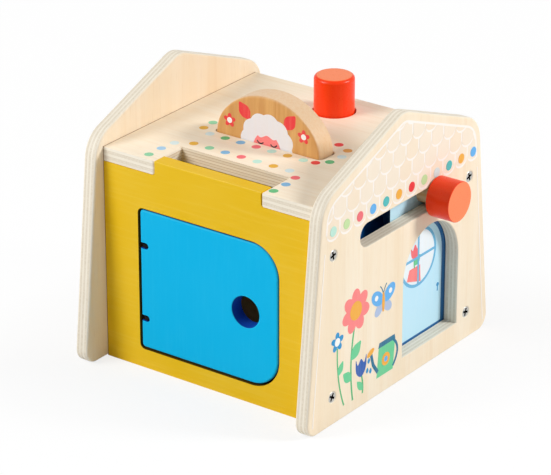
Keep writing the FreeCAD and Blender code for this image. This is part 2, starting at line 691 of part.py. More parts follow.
def drill_along_x(body, name, x_low, x_high, y, z, radius):
    """Drill a round hole along X between two levels."""
    def ring(sketch):
        draw_circle(sketch, y, z, radius)
    pocket_between(body, "YZ", name, x_low, x_high, ring)


def screw_pilots(body, y):
    """Holes for the gable screws in both side edges of a panel."""
    bite = "(%s + screw_sink - gable_thickness + glue_gap)" % SCREW_LENGTH
    for end, level in (("low", "screw_height_low"), ("high", SCREW_HIGH_Z)):
        name = "%s_pilot_%s" % (body.Label, end)
        drill_along_x(body, name + "_right", SIDE_INNER + " - " + bite, SIDE_INNER, y, level,
                      "screw_radius + glue_gap")
        drill_along_x(body, name + "_left", "(-inner_width / 2)", "(-inner_width / 2) + " + bite,
                      y, level, "screw_radius + glue_gap")


def back_panel():
    """Plain back."""
    body = new_body("back_panel")
    half = "(inner_width / 2 - glue_gap)"

    def board(sketch):
        draw_rectangle(sketch, "-1 * " + half, half, "0", "(%s - glue_gap)" % DECK_UNDER)

    pad_between(body, "XZ", "back_board", BACK_INNER, BACK, board)
    screw_pilots(body, SCREW_BACK_Y)


def base_panel():
    """Base between the gables, the front and the back, flush with the floor."""
    body = new_body("base_panel")
    half = "(inner_width / 2 - glue_gap)"

    def board(sketch):
        draw_rectangle(sketch, "-1 * " + half, half, FRONT_INNER + " + glue_gap",
                       BACK_INNER + " - glue_gap")

    pad_between(body, "XY", "base_board", "0", "base_thickness", board)


def front_door():
    """Blue door: round free corners, a finger hole, a bored hinge edge with two notches."""
    body = new_body("front_door")

    def leaf(sketch):
        draw_outline(sketch, [
            (DOOR_LEFT, "door_bottom", "door_hinge_radius"),
            (DOOR_RIGHT, "door_bottom", "door_free_radius"),
            (DOOR_RIGHT, DOOR_TOP, "door_free_radius"),
            (DOOR_LEFT, DOOR_TOP, "door_hinge_radius"),
        ])

    pad_between(body, "XZ", "door_leaf", DOOR_FACE, DOOR_REAR, leaf)
    hinge_edge = number(DOOR_LEFT)
    face = number(DOOR_FACE)
    rear = number(DOOR_REAR)
    round_edges(body, "hinge_edge", "door_hinge_edge_round",
                lambda edge: lies_at(edge, "X", hinge_edge) and lies_at(edge, "Y", face))
    limit = hinge_edge + number("door_hinge_radius + door_hinge_edge_round") + 1

    def free_arris(edge):
        return (lies_at(edge, "Y", face) or lies_at(edge, "Y", rear)) \
            and edge.BoundBox.XMax > limit

    round_edges(body, "door_edges", "panel_edge_round", free_arris)

    def finger_hole(sketch):
        draw_circle(sketch, DOOR_RIGHT + " - finger_hole_inset", "door_bottom + finger_hole_rise",
                    "finger_hole_radius")

    pocket_between(body, "XZ", "finger_hole", DOOR_FACE, DOOR_REAR, finger_hole)
    round_edges(body, "finger_hole_arris", "panel_edge_round",
                lambda edge: lies_at(edge, "Y", face) and hole_arris_at(edge))
    for name, level in EYES:
        def notch(sketch, level=level):
            draw_slot(sketch, DOOR_LEFT + " - overcut",
                      "%s + %s - eye_notch_height / 2" % (DOOR_LEFT, EYE_NOTCH_DEPTH),
                      level, "eye_notch_height / 2")
        pocket_between(body, "XZ", "notch_" + name, DOOR_FACE, DOOR_REAR, notch)

    def bore(sketch):
        draw_circle(sketch, HINGE_X, HINGE_Y, "hinge_pin_radius")

    pocket_between(body, "XY", "pin_bore", "door_bottom", DOOR_TOP, bore)


def hole_arris_at(edge):
    """True for the rim of the finger hole."""
    box = edge.BoundBox
    size = 2 * number("finger_hole_radius")
    return abs(box.XLength - size) < 0.01 and abs(box.ZLength - size) < 0.01


def door_hinge_pin():
    """Steel pin that runs down the door's hinge edge."""
    cylinder_along("door_hinge_pin", "+Z", HINGE_X, HINGE_Y, "door_bottom + hinge_pin_short",
                   "hinge_pin_radius", "door_height - 2 * hinge_pin_short")


def hinge_eye(label, level):
    """Screw eye: a ring round the pin and a shank in the front panel's edge."""
    ring = cylinder_along(label + "_ring", "+Z", HINGE_X, HINGE_Y, level + " - eye_thickness / 2",
                          "eye_ring_radius", "eye_thickness")
    shank_reach = "(door_gap + hinge_pin_inset + eye_shank_length)"
    shank = cylinder_along(label + "_shank", "-X", HINGE_X, HINGE_Y, level, "eye_shank_radius",
                           shank_reach)
    hole = cylinder_along(label + "_hole", "+Z", HINGE_X, HINGE_Y, level + " - eye_thickness",
                          "hinge_pin_radius + running_gap", "2 * eye_thickness")
    cut_from(label, fused(label + "_blank", [ring, shank]), hole)


def door_stop():
    """Batten behind the front panel that the closed door comes to rest against."""
    box_between("door_stop", DOOR_RIGHT + " - stop_lap", BACKDROP_INNER + " - stop_side_gap",
                FRONT_INNER, FRONT_INNER + " + stop_thickness",
                "door_bottom + stop_short", DOOR_TOP + " - stop_short")


def figure_outline(sketch):
    """Figure from the front: a foot, two straight sides and a three-centred arch."""
    half, foot_half = number("figure_width / 2"), number("foot_width / 2")
    foot, step = number(FIGURE_FOOT), number(FIGURE_FOOT + " + foot_height")
    spring, rise = number("deck_height"), number("figure_rise")
    small = number("figure_shoulder")
    large = (half ** 2 + rise ** 2 - 2 * half * small) / (2 * (rise - small))
    spots = [Vector(x, y, 0) for x, y in (
        (-half, spring), (-half, step), (-foot_half, step), (-foot_half, foot),
        (foot_half, foot), (foot_half, step), (half, step), (half, spring))]
    lines = [sketch.addGeometry(Part.LineSegment(spots[i], spots[i + 1])) for i in range(7)]
    right = Vector(half - small, spring, 0)
    left = Vector(small - half, spring, 0)
    crown = Vector(0, spring + rise - large, 0)
    lean = math.atan2(right.y - crown.y, right.x - crown.x)
    up = Vector(0, 0, 1)
    shoulder = sketch.addGeometry(Part.ArcOfCircle(Part.Circle(right, up, small), 0, lean))
    top = sketch.addGeometry(
        Part.ArcOfCircle(Part.Circle(crown, up, large), lean, math.pi - lean))
    other = sketch.addGeometry(
        Part.ArcOfCircle(Part.Circle(left, up, small), math.pi - lean, math.pi))
    for i in range(6):
        sketch.addConstraint(Sketcher.Constraint("Coincident", lines[i], 2, lines[i + 1], 1))
    sketch.addConstraint(Sketcher.Constraint("Tangent", lines[6], 2, shoulder, 1))
    sketch.addConstraint(Sketcher.Constraint("Tangent", shoulder, 2, top, 1))
    sketch.addConstraint(Sketcher.Constraint("Tangent", top, 2, other, 1))
    sketch.addConstraint(Sketcher.Constraint("Tangent", other, 2, lines[0], 1))
    step_level = FIGURE_FOOT + " + foot_height"
    pin_point(sketch, lines[0], 2, "-figure_width / 2", step_level)
    pin_point(sketch, lines[2], 1, "-foot_width / 2", step_level)
    pin_point(sketch, lines[3], 1, "-foot_width / 2", FIGURE_FOOT)
    pin_point(sketch, lines[4], 1, "foot_width / 2", FIGURE_FOOT)
    pin_point(sketch, lines[5], 1, "foot_width / 2", step_level)
    pin_point(sketch, lines[6], 1, "figure_width / 2", step_level)
    pin_point(sketch, shoulder, 3, "figure_width / 2 - figure_shoulder", "deck_height")
    pin_point(sketch, other, 3, "figure_shoulder - figure_width / 2", "deck_height")
    crown_radius = ("((figure_width / 2)^2 + figure_rise^2 - figure_width * figure_shoulder)"
                    " / (2 * (figure_rise - figure_shoulder))")
    set_radius(sketch, top, crown_radius)


def popup_figure():
    """Beech figure with softened arrises over its arch."""
    body = new_body("popup_figure")
    pad_between(body, "XZ", "figure_board", FIGURE_FACE, FIGURE_REAR, figure_outline)
    level = number(FIGURE_FOOT + " + foot_height")
    face, rear = number(FIGURE_FACE), number(FIGURE_REAR)

    def above_foot(edge):
        on_side = lies_at(edge, "Y", face) or lies_at(edge, "Y", rear)
        return on_side and edge.BoundBox.ZMax > level + 1

    round_edges(body, "figure_arrises", "figure_arris", above_foot)

    def foot_wedge(sketch):
        draw_outline(sketch, [
            (FIGURE_REAR + " - foot_bevel", FIGURE_FOOT, None),
            (FIGURE_REAR + " - foot_bevel", FIGURE_FOOT + " - foot_height", None),
            (FIGURE_REAR + " + foot_bevel", FIGURE_FOOT + " - foot_height", None),
            (FIGURE_REAR + " + foot_bevel", FIGURE_FOOT + " + 2 * " + FOOT_BEVEL_RISE, None),
        ])

    pocket_between(body, "YZ", "foot_bevel", "(-foot_width / 2)", "(foot_width / 2)", foot_wedge)


def figure_guide(label, side):
    """Block below the deck with a groove, closed at its foot, for the figure's foot."""
    body = new_body(label)
    near = "(figure_width / 2 + guide_side_gap)"
    groove = "(foot_width / 2 + guide_groove_gap)"
    far = "(foot_width / 2 + guide_groove_gap + guide_wall)"
    if side < 0:
        near, far, groove = ["(-1 * %s)" % level for level in (near, far, groove)]
    low, high = (near, far) if side > 0 else (far, near)
    foot = "(%s - moving_gap)" % FIGURE_FOOT

    def block(sketch):
        draw_rectangle(sketch, low, high, FIGURE_FACE + " - guide_groove_gap - guide_cheek",
                       FIGURE_REAR + " + guide_groove_gap + guide_cheek")

    def channel(sketch):
        start, end = (near + " - overcut", groove) if side > 0 else (groove, near + " + overcut")
        draw_rectangle(sketch, start, end, FIGURE_FACE + " - guide_groove_gap",
                       FIGURE_REAR + " + guide_groove_gap")

    pad_between(body, "XY", label + "_block", foot + " - guide_sill", DECK_UNDER, block)
    pocket_between(body, "XY", label + "_groove", foot, DECK_UNDER, channel)
    edge_x = number(far)
    round_edges(body, label + "_edges", "panel_edge_round",
                lambda edge: lies_at(edge, "X", edge_x) and edge.BoundBox.ZLength > 5)


def push_peg():
    """Turned peg: a rounded top, a tapered tip for the lever, a cross hole for its stop dowel."""
    body = new_body("push_peg")
    sketch = sketch_on(body, "XZ", "peg_profile", PEG_Y)
    draw_outline(sketch, [
        ("0", PEG_FOOT, None),
        ("peg_tip_radius", PEG_FOOT, None),
        ("peg_radius", PEG_FOOT + " + " + PEG_TAPER, None),
        ("peg_radius", "deck_height + peg_rise", None),
        ("0", "deck_height + peg_rise", None),
    ])
    doc.recompute()
    turned = body.newObject("PartDesign::Revolution", "peg_turned")
    turned.Profile = sketch
    turned.ReferenceAxis = (sketch, ["V_Axis"])
    turned.Angle = 360
    doc.recompute()
    top = number("deck_height + peg_rise")
    round_edges(body, "peg_top_edge", "peg_top_round", lambda edge: lies_at(edge, "Z", top))
    drill_along_x(body, "dowel_hole", "(-peg_radius)", "peg_radius", PEG_Y, DOWEL_Z,
                  "dowel_radius")


def peg_stop_dowel():
    """Dowel across the peg, just below the deck at rest, that keeps it from being pulled out."""
    cylinder_along("peg_stop_dowel", "+X", "-dowel_length / 2", PEG_Y, DOWEL_Z,
                   "dowel_radius", "dowel_length")


def lever():
    """Seesaw between peg and figure, at rest with its peg end up."""
    body = new_body("lever")
    half_width = "(lever_width / 2)"

    def bar(sketch):
        draw_slot(sketch, "-1 * " + LEVER_ARM, LEVER_ARM, "0", "lever_thickness / 2")

    def rounds(sketch):
        draw_circle(sketch, "0", "0", "lever_hub_radius")
        draw_circle(sketch, "-1 * " + LEVER_ARM, "0", "lever_nose_radius")
        draw_circle(sketch, LEVER_ARM, "0", "lever_nose_radius")

    def bore(sketch):
        draw_circle(sketch, "0", "0", "pivot_radius + running_gap")

    pad_between(body, "YZ", "lever_bar", "(-lever_width / 2)", half_width, bar)
    pad_between(body, "YZ", "lever_rounds", "(-lever_width / 2)", half_width, rounds)
    pocket_between(body, "YZ", "lever_bore", "(-lever_width / 2)", half_width, bore)
    body.Placement = Placement(Vector(), Rotation(Vector(1, 0, 0), number(LEVER_TILT)))
    body.setExpression("Placement.Rotation.Angle", bound(LEVER_TILT))
    place(body, "0", PIVOT_Y, PIVOT_Z)


def lever_pivot_pin():
    """Steel pin through both hangers and the lever."""
    reach = "(lever_width / 2 + hanger_gap + hanger_thickness)"
    cylinder_along("lever_pivot_pin", "+X", "-1 * " + reach, PIVOT_Y, PIVOT_Z,
                   "pivot_radius", "2 * " + reach)


def lever_hanger(label, side):
    """Block below the deck that carries one end of the pivot pin."""
    body = new_body(label)
    near = "(lever_width / 2 + hanger_gap)"
    far = "(lever_width / 2 + hanger_gap + hanger_thickness)"
    if side < 0:
        near, far = "(-1 * %s)" % near, "(-1 * %s)" % far
    low, high = (near, far) if side > 0 else (far, near)

    def cheek(sketch):
        # Just short of a half circle, so that a flat stays between the two arcs.
        bottom = "hanger_radius * 0.999"
        foot = PIVOT_Z + " - hanger_radius"
        draw_outline(sketch, [
            (PIVOT_Y + " - hanger_radius", foot, bottom),
            (PIVOT_Y + " + hanger_radius", foot, bottom),
            (PIVOT_Y + " + hanger_radius", DECK_UNDER, None),
            (PIVOT_Y + " - hanger_radius", DECK_UNDER, None),
        ])

    def bore(sketch):
        draw_circle(sketch, PIVOT_Y, PIVOT_Z, "pivot_radius")

    pad_between(body, "YZ", label + "_block", low, high, cheek)
    pocket_between(body, "YZ", label + "_bore", low, high, bore)


def sliding_door():
    """Thin door that slides behind the right gable, bored for the knob's screw."""
    body = new_body("sliding_door")

    def leaf(sketch):
        draw_rectangle(sketch, SLIDER_FRONT, SLIDER_BACK, SLIDER_FOOT,
                       SLIDER_TOP, "door_hinge_radius")

    def bore(sketch):
        draw_circle(sketch, KNOB_Y, KNOB_Z, "knob_screw_radius")

    pad_between(body, "YZ", "slider_leaf", SLIDER_INNER, SLIDER_OUTER, leaf)
    pocket_between(body, "YZ", "slider_bore", SLIDER_INNER, SLIDER_OUTER, bore)


def knob_spindle():
    """Wooden spindle from the sliding door through the slot into the knob."""
    end = "(%s + spindle_recess)" % KNOB_INNER
    bar = cylinder_along("spindle_bar", "+X", SLIDER_OUTER, KNOB_Y, KNOB_Z,
                         "spindle_radius", "%s - %s" % (end, SLIDER_OUTER))
    bore = cylinder_along("spindle_bore", "+X", SLIDER_OUTER + " - overcut", KNOB_Y, KNOB_Z,
                          "knob_screw_radius", "%s - %s + 2 * overcut" % (end, SLIDER_OUTER))
    cut_from("knob_spindle", bar, bore)


def slider_knob():
    """Round knob, blind-bored for its spindle and its screw."""
    body = new_body("slider_knob")
    outer = "(%s + knob_length)" % KNOB_INNER
    recess = "(%s + spindle_recess)" % KNOB_INNER

    def disc(sketch):
        draw_circle(sketch, KNOB_Y, KNOB_Z, "knob_radius")

    def seat(sketch):
        draw_circle(sketch, KNOB_Y, KNOB_Z, "spindle_radius")

    def pilot(sketch):
        draw_circle(sketch, KNOB_Y, KNOB_Z, "knob_screw_radius")

    pad_between(body, "YZ", "knob_bar", KNOB_INNER, outer, disc)
    round_edges(body, "knob_edges", "knob_arris", on_any("X", KNOB_INNER, outer))
    pocket_between(body, "YZ", "knob_seat", KNOB_INNER, recess, seat)
    pocket_between(body, "YZ", "knob_pilot", recess, recess + " + knob_screw_bite", pilot)


def knob_screw():
    """Pan-head screw from inside the house through door and spindle into the knob."""
    shank = cylinder_along("knob_screw_shank", "+X", SLIDER_INNER, KNOB_Y, KNOB_Z,
                           "knob_screw_radius",
                           "%s + spindle_recess + knob_screw_bite - %s" % (KNOB_INNER, SLIDER_INNER))
    head = cylinder_along("knob_screw_head", "+X", SLIDER_INNER + " - knob_screw_head_height",
                          KNOB_Y, KNOB_Z, "knob_screw_head_radius",
                          "knob_screw_head_height")
    fused("knob_screw", [shank, head])


def rails_and_backdrop():
    """Battens that keep the sliding door against the gable, and the board behind them."""
    front, back = FRONT_INNER + " + glue_gap", BACK_INNER + " - glue_gap"
    box_between("upper_rail", RAIL_INNER, RAIL_OUTER, front, back,
                DECK_UNDER + " - upper_rail_height", DECK_UNDER)
    box_between("lower_rail", RAIL_INNER, RAIL_OUTER, front, back,
                "base_thickness", "base_thickness + lower_rail_height")
    box_between("backdrop_board", BACKDROP_INNER, RAIL_INNER, front, back,
                "base_thickness", DECK_UNDER)


def gable_screws(label, side):
    """Four countersunk screws through a gable into the edges of front and back."""
    inward = "-X" if side > 0 else "+X"
    sign = "" if side > 0 else "-1 * "
    head_x = "%s(%s - screw_sink)" % (sign, SIDE_OUTER)
    screws = []
    for i, (y, z) in enumerate(screw_spots()):
        head = cone_along("%s_head_%d" % (label, i + 1), inward, head_x, y, z,
                          "screw_head_radius", "screw_radius", "screw_head_height")
        shank = cylinder_along("%s_shank_%d" % (label, i + 1), inward, head_x, y, z,
                               "screw_radius", SCREW_LENGTH)
        screws.append(fused("%s_%d" % (label, i + 1), [head, shank]))
    group = doc.addObject("Part::Compound", label)
    group.Label = label
    group.Links = screws


def build_all():
    """Make every piece."""
    left_gable()
    right_gable()
    top_panel()
    front_panel()
    back_panel()
    base_panel()
    front_door()
    door_hinge_pin()
    for name, level in EYES:
        hinge_eye("hinge_eye_" + name, level)
    door_stop()
    popup_figure()
    figure_guide("figure_guide_left", -1)
    figure_guide("figure_guide_right", 1)
    push_peg()
    peg_stop_dowel()
    lever()
    lever_pivot_pin()
    lever_hanger("lever_hanger_left", -1)
    lever_hanger("lever_hanger_right", 1)
    sliding_door()
    knob_spindle()
    slider_knob()
    knob_screw()
    rails_and_backdrop()
    gable_screws("right_gable_screws", 1)
    gable_screws("left_gable_screws", -1)


NODES = [
    "left_gable", "right_gable", "top_panel", "front_panel", "back_panel", "base_panel",
    "front_door", "door_hinge_pin", "hinge_eye_upper", "hinge_eye_lower", "door_stop",
    "popup_figure", "figure_guide_left", "figure_guide_right", "push_peg", "peg_stop_dowel",
    "lever", "lever_pivot_pin", "lever_hanger_left", "lever_hanger_right",
    "sliding_door", "knob_spindle", "slider_knob", "knob_screw",
    "upper_rail", "lower_rail", "backdrop_board", "right_gable_screws", "left_gable_screws",
]


def check_all():
    """Stop if any object failed or any node has no sound shape."""
    for item in doc.Objects:
        if "Invalid" in item.State or "Error" in item.State:
            raise RuntimeError("%s failed: %s" % (item.Label, item.State))
    for label in NODES:
        shape = doc.getObjectsByLabel(label)[0].Shape
        if shape.isNull() or not shape.isValid() or not shape.Solids:
            raise RuntimeError("%s has no sound solid" % label)


def write_all():
    """Write each node to its own file."""
    os.makedirs("parts", exist_ok=True)
    for label in NODES:
        shape = doc.getObjectsByLabel(label)[0].Shape
        shape.exportStep(os.path.join("parts", label + ".step"))
        print("%-22s solids %d  volume %.0f" % (label, len(shape.Solids), shape.Volume))


build_all()
doc.recompute()
check_all()
write_all()
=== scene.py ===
import math

import bpy
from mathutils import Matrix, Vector
from mathutils.geometry import tessellate_polygon


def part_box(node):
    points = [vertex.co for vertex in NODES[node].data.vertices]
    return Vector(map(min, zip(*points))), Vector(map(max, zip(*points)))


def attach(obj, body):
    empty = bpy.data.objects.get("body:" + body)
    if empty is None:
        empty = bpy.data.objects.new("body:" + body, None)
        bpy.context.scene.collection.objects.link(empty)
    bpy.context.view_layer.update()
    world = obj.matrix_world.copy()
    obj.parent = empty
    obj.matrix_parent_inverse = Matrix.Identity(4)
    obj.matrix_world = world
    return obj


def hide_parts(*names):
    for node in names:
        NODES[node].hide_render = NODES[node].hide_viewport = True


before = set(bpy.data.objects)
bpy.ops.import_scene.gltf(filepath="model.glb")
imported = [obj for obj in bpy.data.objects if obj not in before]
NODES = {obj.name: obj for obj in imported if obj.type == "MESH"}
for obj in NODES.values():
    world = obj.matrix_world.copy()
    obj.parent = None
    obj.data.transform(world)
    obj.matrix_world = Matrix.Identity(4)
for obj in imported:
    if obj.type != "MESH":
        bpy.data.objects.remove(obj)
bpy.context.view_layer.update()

MM = 0.001
X, Y, Z = 0, 1, 2

# Colours as sRGB, 0 to 255. Birch ply: its faces, the layers of its edges, what darkens both,
# the painted shade at its joints, and a brown on the edges of its openings that is partly painted
# shade.
CREAM = (252, 239, 217)
HONEY = (244, 221, 186)
PORE = (214, 184, 140)
LAYER_PALE = (246, 238, 222)
LAYER_GREY = (222, 210, 188)
GLUE = (184, 168, 140)
JOINT_SHADE = (142, 98, 50)
SCORCH_AND_SHADE = (176, 132, 78)
STREAK = (226, 188, 138)

# Solid timber and metal, and the painted shade in the screws' cross recesses.
BEECH_FACE = (225, 173, 106)
BEECH_DARK = (206, 146, 82)
BEECH_EDGE = (234, 203, 168)
PINE = (232, 206, 162)
PINE_DARK = (206, 170, 118)
STEEL = (206, 205, 200)
GUNMETAL = (34, 33, 34)
RECESS_SHADE = (22, 20, 18)

# Paints: the coat and its worn arrises; dark edges, which are painted shade on the front door and
# in its opening; and the painted highlight on the end of a turned one.
YELLOW = (232, 187, 12)
YELLOW_WORN = (248, 216, 90)
YELLOW_GAP_SHADE = (88, 66, 14)
BLUE = (0, 182, 234)
BLUE_WORN = (44, 196, 240)
BLUE_EDGE_SHADE = (24, 80, 186)
PALE_BLUE = (194, 236, 254)
PALE_BLUE_WORN = (220, 242, 254)
PALE_BLUE_DARK_EDGE = (20, 44, 74)
DEEP_BLUE = (0, 92, 168)
DEEP_BLUE_WORN = (20, 124, 200)
ORANGE = (252, 58, 8)
ORANGE_WORN = (254, 100, 36)
ORANGE_END_HIGHLIGHT = (254, 136, 84)

# Printing inks.
INKS = {
    "white": (252, 251, 247),
    "line": (254, 246, 239),
    "tile": (247, 233, 213),
    "tile_warm": (247, 230, 206),
    "mint": (190, 234, 218),
    "lime": (198, 228, 166),
    "rose": (242, 108, 118),
    "sky": (98, 178, 240),
    "mist": (122, 182, 222),
    "teal": (70, 188, 190),
    "orange": (246, 176, 62),
    "red": (238, 62, 66),
    "frost": (214, 234, 236),
    "green": (92, 186, 124),
    "leaf": (104, 208, 152),
    "pond": (18, 112, 148),
    "navy": (34, 92, 178),
    "azure": (20, 148, 208),
    "lilac": (176, 194, 226),
    "coral": (252, 134, 134),
    "ochre": (226, 158, 72),
    "sage": (138, 208, 164),
    "haze": (160, 204, 234),
    "amber": (230, 174, 44),
    "outline": (104, 182, 224),
    # A printed line, dark enough to be the painted shade of the doorway's jamb as well.
    "door_line_shade": (20, 104, 168),
    "pane": (236, 246, 252),
    "ink": (38, 40, 48),
    "wool": (238, 236, 240),
}

# Faces of the right gable and the deck, in metres.
GABLE_INNER, GABLE_FACE = (corner.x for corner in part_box("right_gable"))
DECK_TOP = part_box("top_panel")[1].z
DECK_FRONT = -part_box("top_panel")[0].y

# Ink stands on its board by this much for each coat, and reaches into it. Every shape of a print
# adds a step, so that no two faces share a plane. All in metres.
INK_RISE = 0.00003
INK_SINK = 0.00003
INK_STEP = 0.000002

# A print's plane: the axes of its flat coordinates, its outward axis and direction. Seen from
# outside, the first axis runs to the right and the second one up.
PLANES = {
    "gable": (Y, Z, X, 1),
    "front": (X, Z, Y, -1),
}

# Outline of the gable, in millimetres: half its width at the floor, its corners and their rounding.
FOOT_HALF = 96.2
EAVES = (81.2, 142.6)
EAVES_RADIUS = 20.0
APEX_LEVEL = 173.5
APEX_RADIUS = 16.0
SIDE_LEAN = math.atan2(FOOT_HALF - EAVES[0], EAVES[1])

# Roof tiles, dots and border line on the gable, in millimetres.
DOT_PITCH = 13.2
DOT_COUNT = 12
FIRST_DOT = -71.1
DOT_LEVEL = 123.5
TILE_FOOT = 118.2
TILE_ROWS = 5
ROW_HEIGHT = 11.4
SCALLOP = 5.6
LINE = 1.35
BORDER_INSET = 5.0
BORDER_LINE = 0.8
BORDER_LEVELS = (6.0, 112.0)
SMALLEST_TILE = 2.0

# Dots in metres, as a radius.
DECK_DOT = 0.0028
GABLE_DOT = 0.0031

# Cross-head screws, in metres.
HEAD_RADIUS = 0.0035
HEAD_HEIGHT = 0.0018
SHANK_RADIUS = 0.0018
SHANK_END = 0.028
SCREW_LENGTH = 0.032
RECESS_DEPTH = 0.0014
SCREW_SIDES = 32


def linear(colour):
    """An sRGB colour, 0 to 255, as Blender's linear colour."""
    channels = []
    for share in (channel / 255 for channel in colour):
        channels.append(share / 12.92 if share <= 0.04045 else ((share + 0.055) / 1.055) ** 2.4)
    return (*channels, 1.0)


class Finish:
    """One material, its nodes added in the order in which they feed each other."""

    def __init__(self, name, specular=0.3):
        self.material = bpy.data.materials.new(name)
        self.material.use_nodes = True
        self.tree = self.material.node_tree
        self.shader = self.tree.nodes["Principled BSDF"]
        self.shader.inputs["Specular IOR Level"].default_value = specular
        source = self.tree.nodes.new("ShaderNodeTexCoord")
        self.place = source.outputs["Object"]
        normal = self.add("SeparateXYZ", {0: source.outputs["Normal"]})
        self.facing = [self.math("ABSOLUTE", socket) for socket in normal.outputs]
        self.spot = self.add("SeparateXYZ", {0: self.place}).outputs

    def add(self, kind, inputs, **settings):
        """A shader node. An input is a socket to link or a value to set."""
        node = self.tree.nodes.new("ShaderNode" + kind)
        for key, value in settings.items():
            setattr(node, key, value)
        for key, value in inputs.items():
            if isinstance(value, bpy.types.NodeSocket):
                self.tree.links.new(value, node.inputs[key])
            else:
                node.inputs[key].default_value = value
        return node

    def math(self, operation, first, second=0.0):
        """The result of one operation on sockets or numbers."""
        return self.add("Math", {0: first, 1: second}, operation=operation).outputs[0]

    def span(self, value, low, high, to_low=0.0, to_high=1.0):
        """A value between low and high, clamped, as one between to_low and to_high."""
        return self.add("MapRange", {0: value, 1: low, 2: high, 3: to_low, 4: to_high}).outputs[0]

    def blend(self, share, first, second):
        """The first colour with a share of the second. Each is a socket or an sRGB colour."""
        sockets = [linear(c) if isinstance(c, tuple) else c for c in (first, second)]
        node = self.add("Mix", {0: share, 6: sockets[0], 7: sockets[1]}, data_type="RGBA")
        return node.outputs[2]

    def noise(self, per_metre, detail, rough, bend=0.0):
        """Noise with its own number of features per metre on X, Y and Z."""
        stretched = self.add("Mapping", {0: self.place, 3: per_metre})
        node = self.add("TexNoise", {"Vector": stretched.outputs[0], "Scale": 1.0, "Detail": detail,
                                     "Roughness": rough, "Distortion": bend})
        return node.outputs["Fac"]

    def shaded_joints(self, colour):
        """The colour, with painted shade along the line where a board between the gables meets
        them.
        """
        away = self.math("SUBTRACT", self.math("ABSOLUTE", self.spot[X]), GABLE_INNER)
        share = self.span(self.math("ABSOLUTE", away), 0.0003, 0.0007, 0.85, 0.0)
        return self.blend(share, colour, JOINT_SHADE)

    def finish(self, colour, roughness, height=None, depth=0.0):
        """The material, with its colour, roughness and relief."""
        for name, value in (("Base Color", colour), ("Roughness", roughness)):
            if isinstance(value, bpy.types.NodeSocket):
                self.tree.links.new(value, self.shader.inputs[name])
            else:
                self.shader.inputs[name].default_value = value
        if height is not None:
            bump = self.add("Bump", {"Height": height, "Distance": depth, "Strength": 1.0})
            self.tree.links.new(bump.outputs[0], self.shader.inputs["Normal"])
        return self.material


def along(axis, on_axis, across):
    """Features per metre for grain that runs along an axis."""
    return tuple(on_axis if i == axis else across for i in range(3))


def plywood(name, through, grain, low, thickness, layers, warmth, between):
    """Birch ply. Faces show grain along one axis, and edges the layers through the board.

    A warmer board has more honey in its figure. One between the gables has painted shade along its
    joints. On the edges of its openings its layers are warmer and its glue lines browner, partly
    the burn of the cut and partly painted shade and bounce light.
    """
    f = Finish(name)
    figure = f.noise(along(grain, 4.0, 42.0), 2.0, 0.5, 0.6)
    fibre = f.noise(along(grain, 26.0, 620.0), 3.0, 0.6)
    pores = f.noise(along(grain, 90.0, 1500.0), 2.0, 0.5)
    streaks = f.noise(along(grain, 7.0, 190.0), 2.0, 0.5, 0.3)
    face = f.blend(f.span(figure, 0.35, 0.7, 0.15 + warmth, 0.8 + warmth), CREAM, HONEY)
    face = f.blend(f.span(fibre, 0.35, 0.75, 0.0, 0.3), face, HONEY)
    face = f.blend(f.span(streaks, 0.52, 0.76, 0.0, 0.15), face, STREAK)
    face = f.blend(f.span(pores, 0.62, 0.75, 0.0, 0.22), face, PORE)
    level = f.math("DIVIDE", f.math("SUBTRACT", f.spot[through], low), thickness / layers)
    turn = f.math("MODULO", f.math("FLOOR", level), 2.0)
    end_fibre = f.noise((900.0, 900.0, 900.0), 3.0, 0.6)
    long_fibre = f.noise(along(through, 700.0, 60.0), 3.0, 0.6)
    pale = f.blend(f.span(long_fibre, 0.3, 0.7, 0.0, 0.35), LAYER_PALE, LAYER_GREY)
    grey = f.blend(f.span(end_fibre, 0.3, 0.7, 0.0, 0.55), LAYER_GREY, LAYER_PALE)
    edge = f.blend(turn, pale, grey)
    away = f.math("ABSOLUTE", f.math("SUBTRACT", f.math("FRACT", level), 0.5))
    edge = f.blend(f.span(away, 0.45, 0.5, 0.0, 0.45), edge, GLUE)
    if between:
        # On the edges of the openings: warmer layers and browner glue lines, partly the burn of the
        # cut and partly painted shade and bounce light.
        depth = f.math("ABSOLUTE", f.spot[Y])
        inside = f.span(depth, DECK_FRONT - 0.003, DECK_FRONT - 0.001, 1.0, 0.0)
        warm = f.blend(0.45, edge, CREAM)
        scorched_and_shaded = f.blend(f.span(away, 0.38, 0.5, 0.0, 0.8), warm, SCORCH_AND_SHADE)
        edge = f.blend(inside, edge, scorched_and_shaded)
    on_face = f.span(f.facing[through], 0.55, 0.9)
    colour = f.blend(on_face, edge, face)
    # Painted shade along the joints with the gables.
    if between:
        colour = f.shaded_joints(colour)
    relief = f.math("ADD", fibre, f.math("MULTIPLY", pores, 0.6))
    rough = f.span(fibre, 0.3, 0.8, 0.42, 0.6)
    return f.finish(colour, rough, relief, 0.00006)


def solid_wood(name, grain, pale, dark, edge=None):
    """Solid timber: fibre and rays along one axis. An edge colour goes where it faces off Y."""
    f = Finish(name)
    figure = f.noise(along(grain, 9.0, 130.0), 2.0, 0.5, 1.2)
    fibre = f.noise(along(grain, 45.0, 900.0), 3.0, 0.6)
    rays = f.noise(along(grain, 260.0, 1400.0), 1.0, 0.5)
    colour = f.blend(f.span(figure, 0.35, 0.7), pale, dark)
    colour = f.blend(f.span(fibre, 0.45, 0.8, 0.0, 0.5), colour, dark)
    colour = f.blend(f.span(rays, 0.64, 0.74, 0.0, 0.35), colour, dark)
    if edge:
        shade = f.blend(f.span(fibre, 0.4, 0.75, 0.0, 0.4), edge, pale)
        colour = f.blend(f.span(f.facing[Y], 0.45, 0.85), shade, colour)
    rough = f.span(fibre, 0.3, 0.8, 0.36, 0.52)
    return f.finish(colour, rough, fibre, 0.00006)


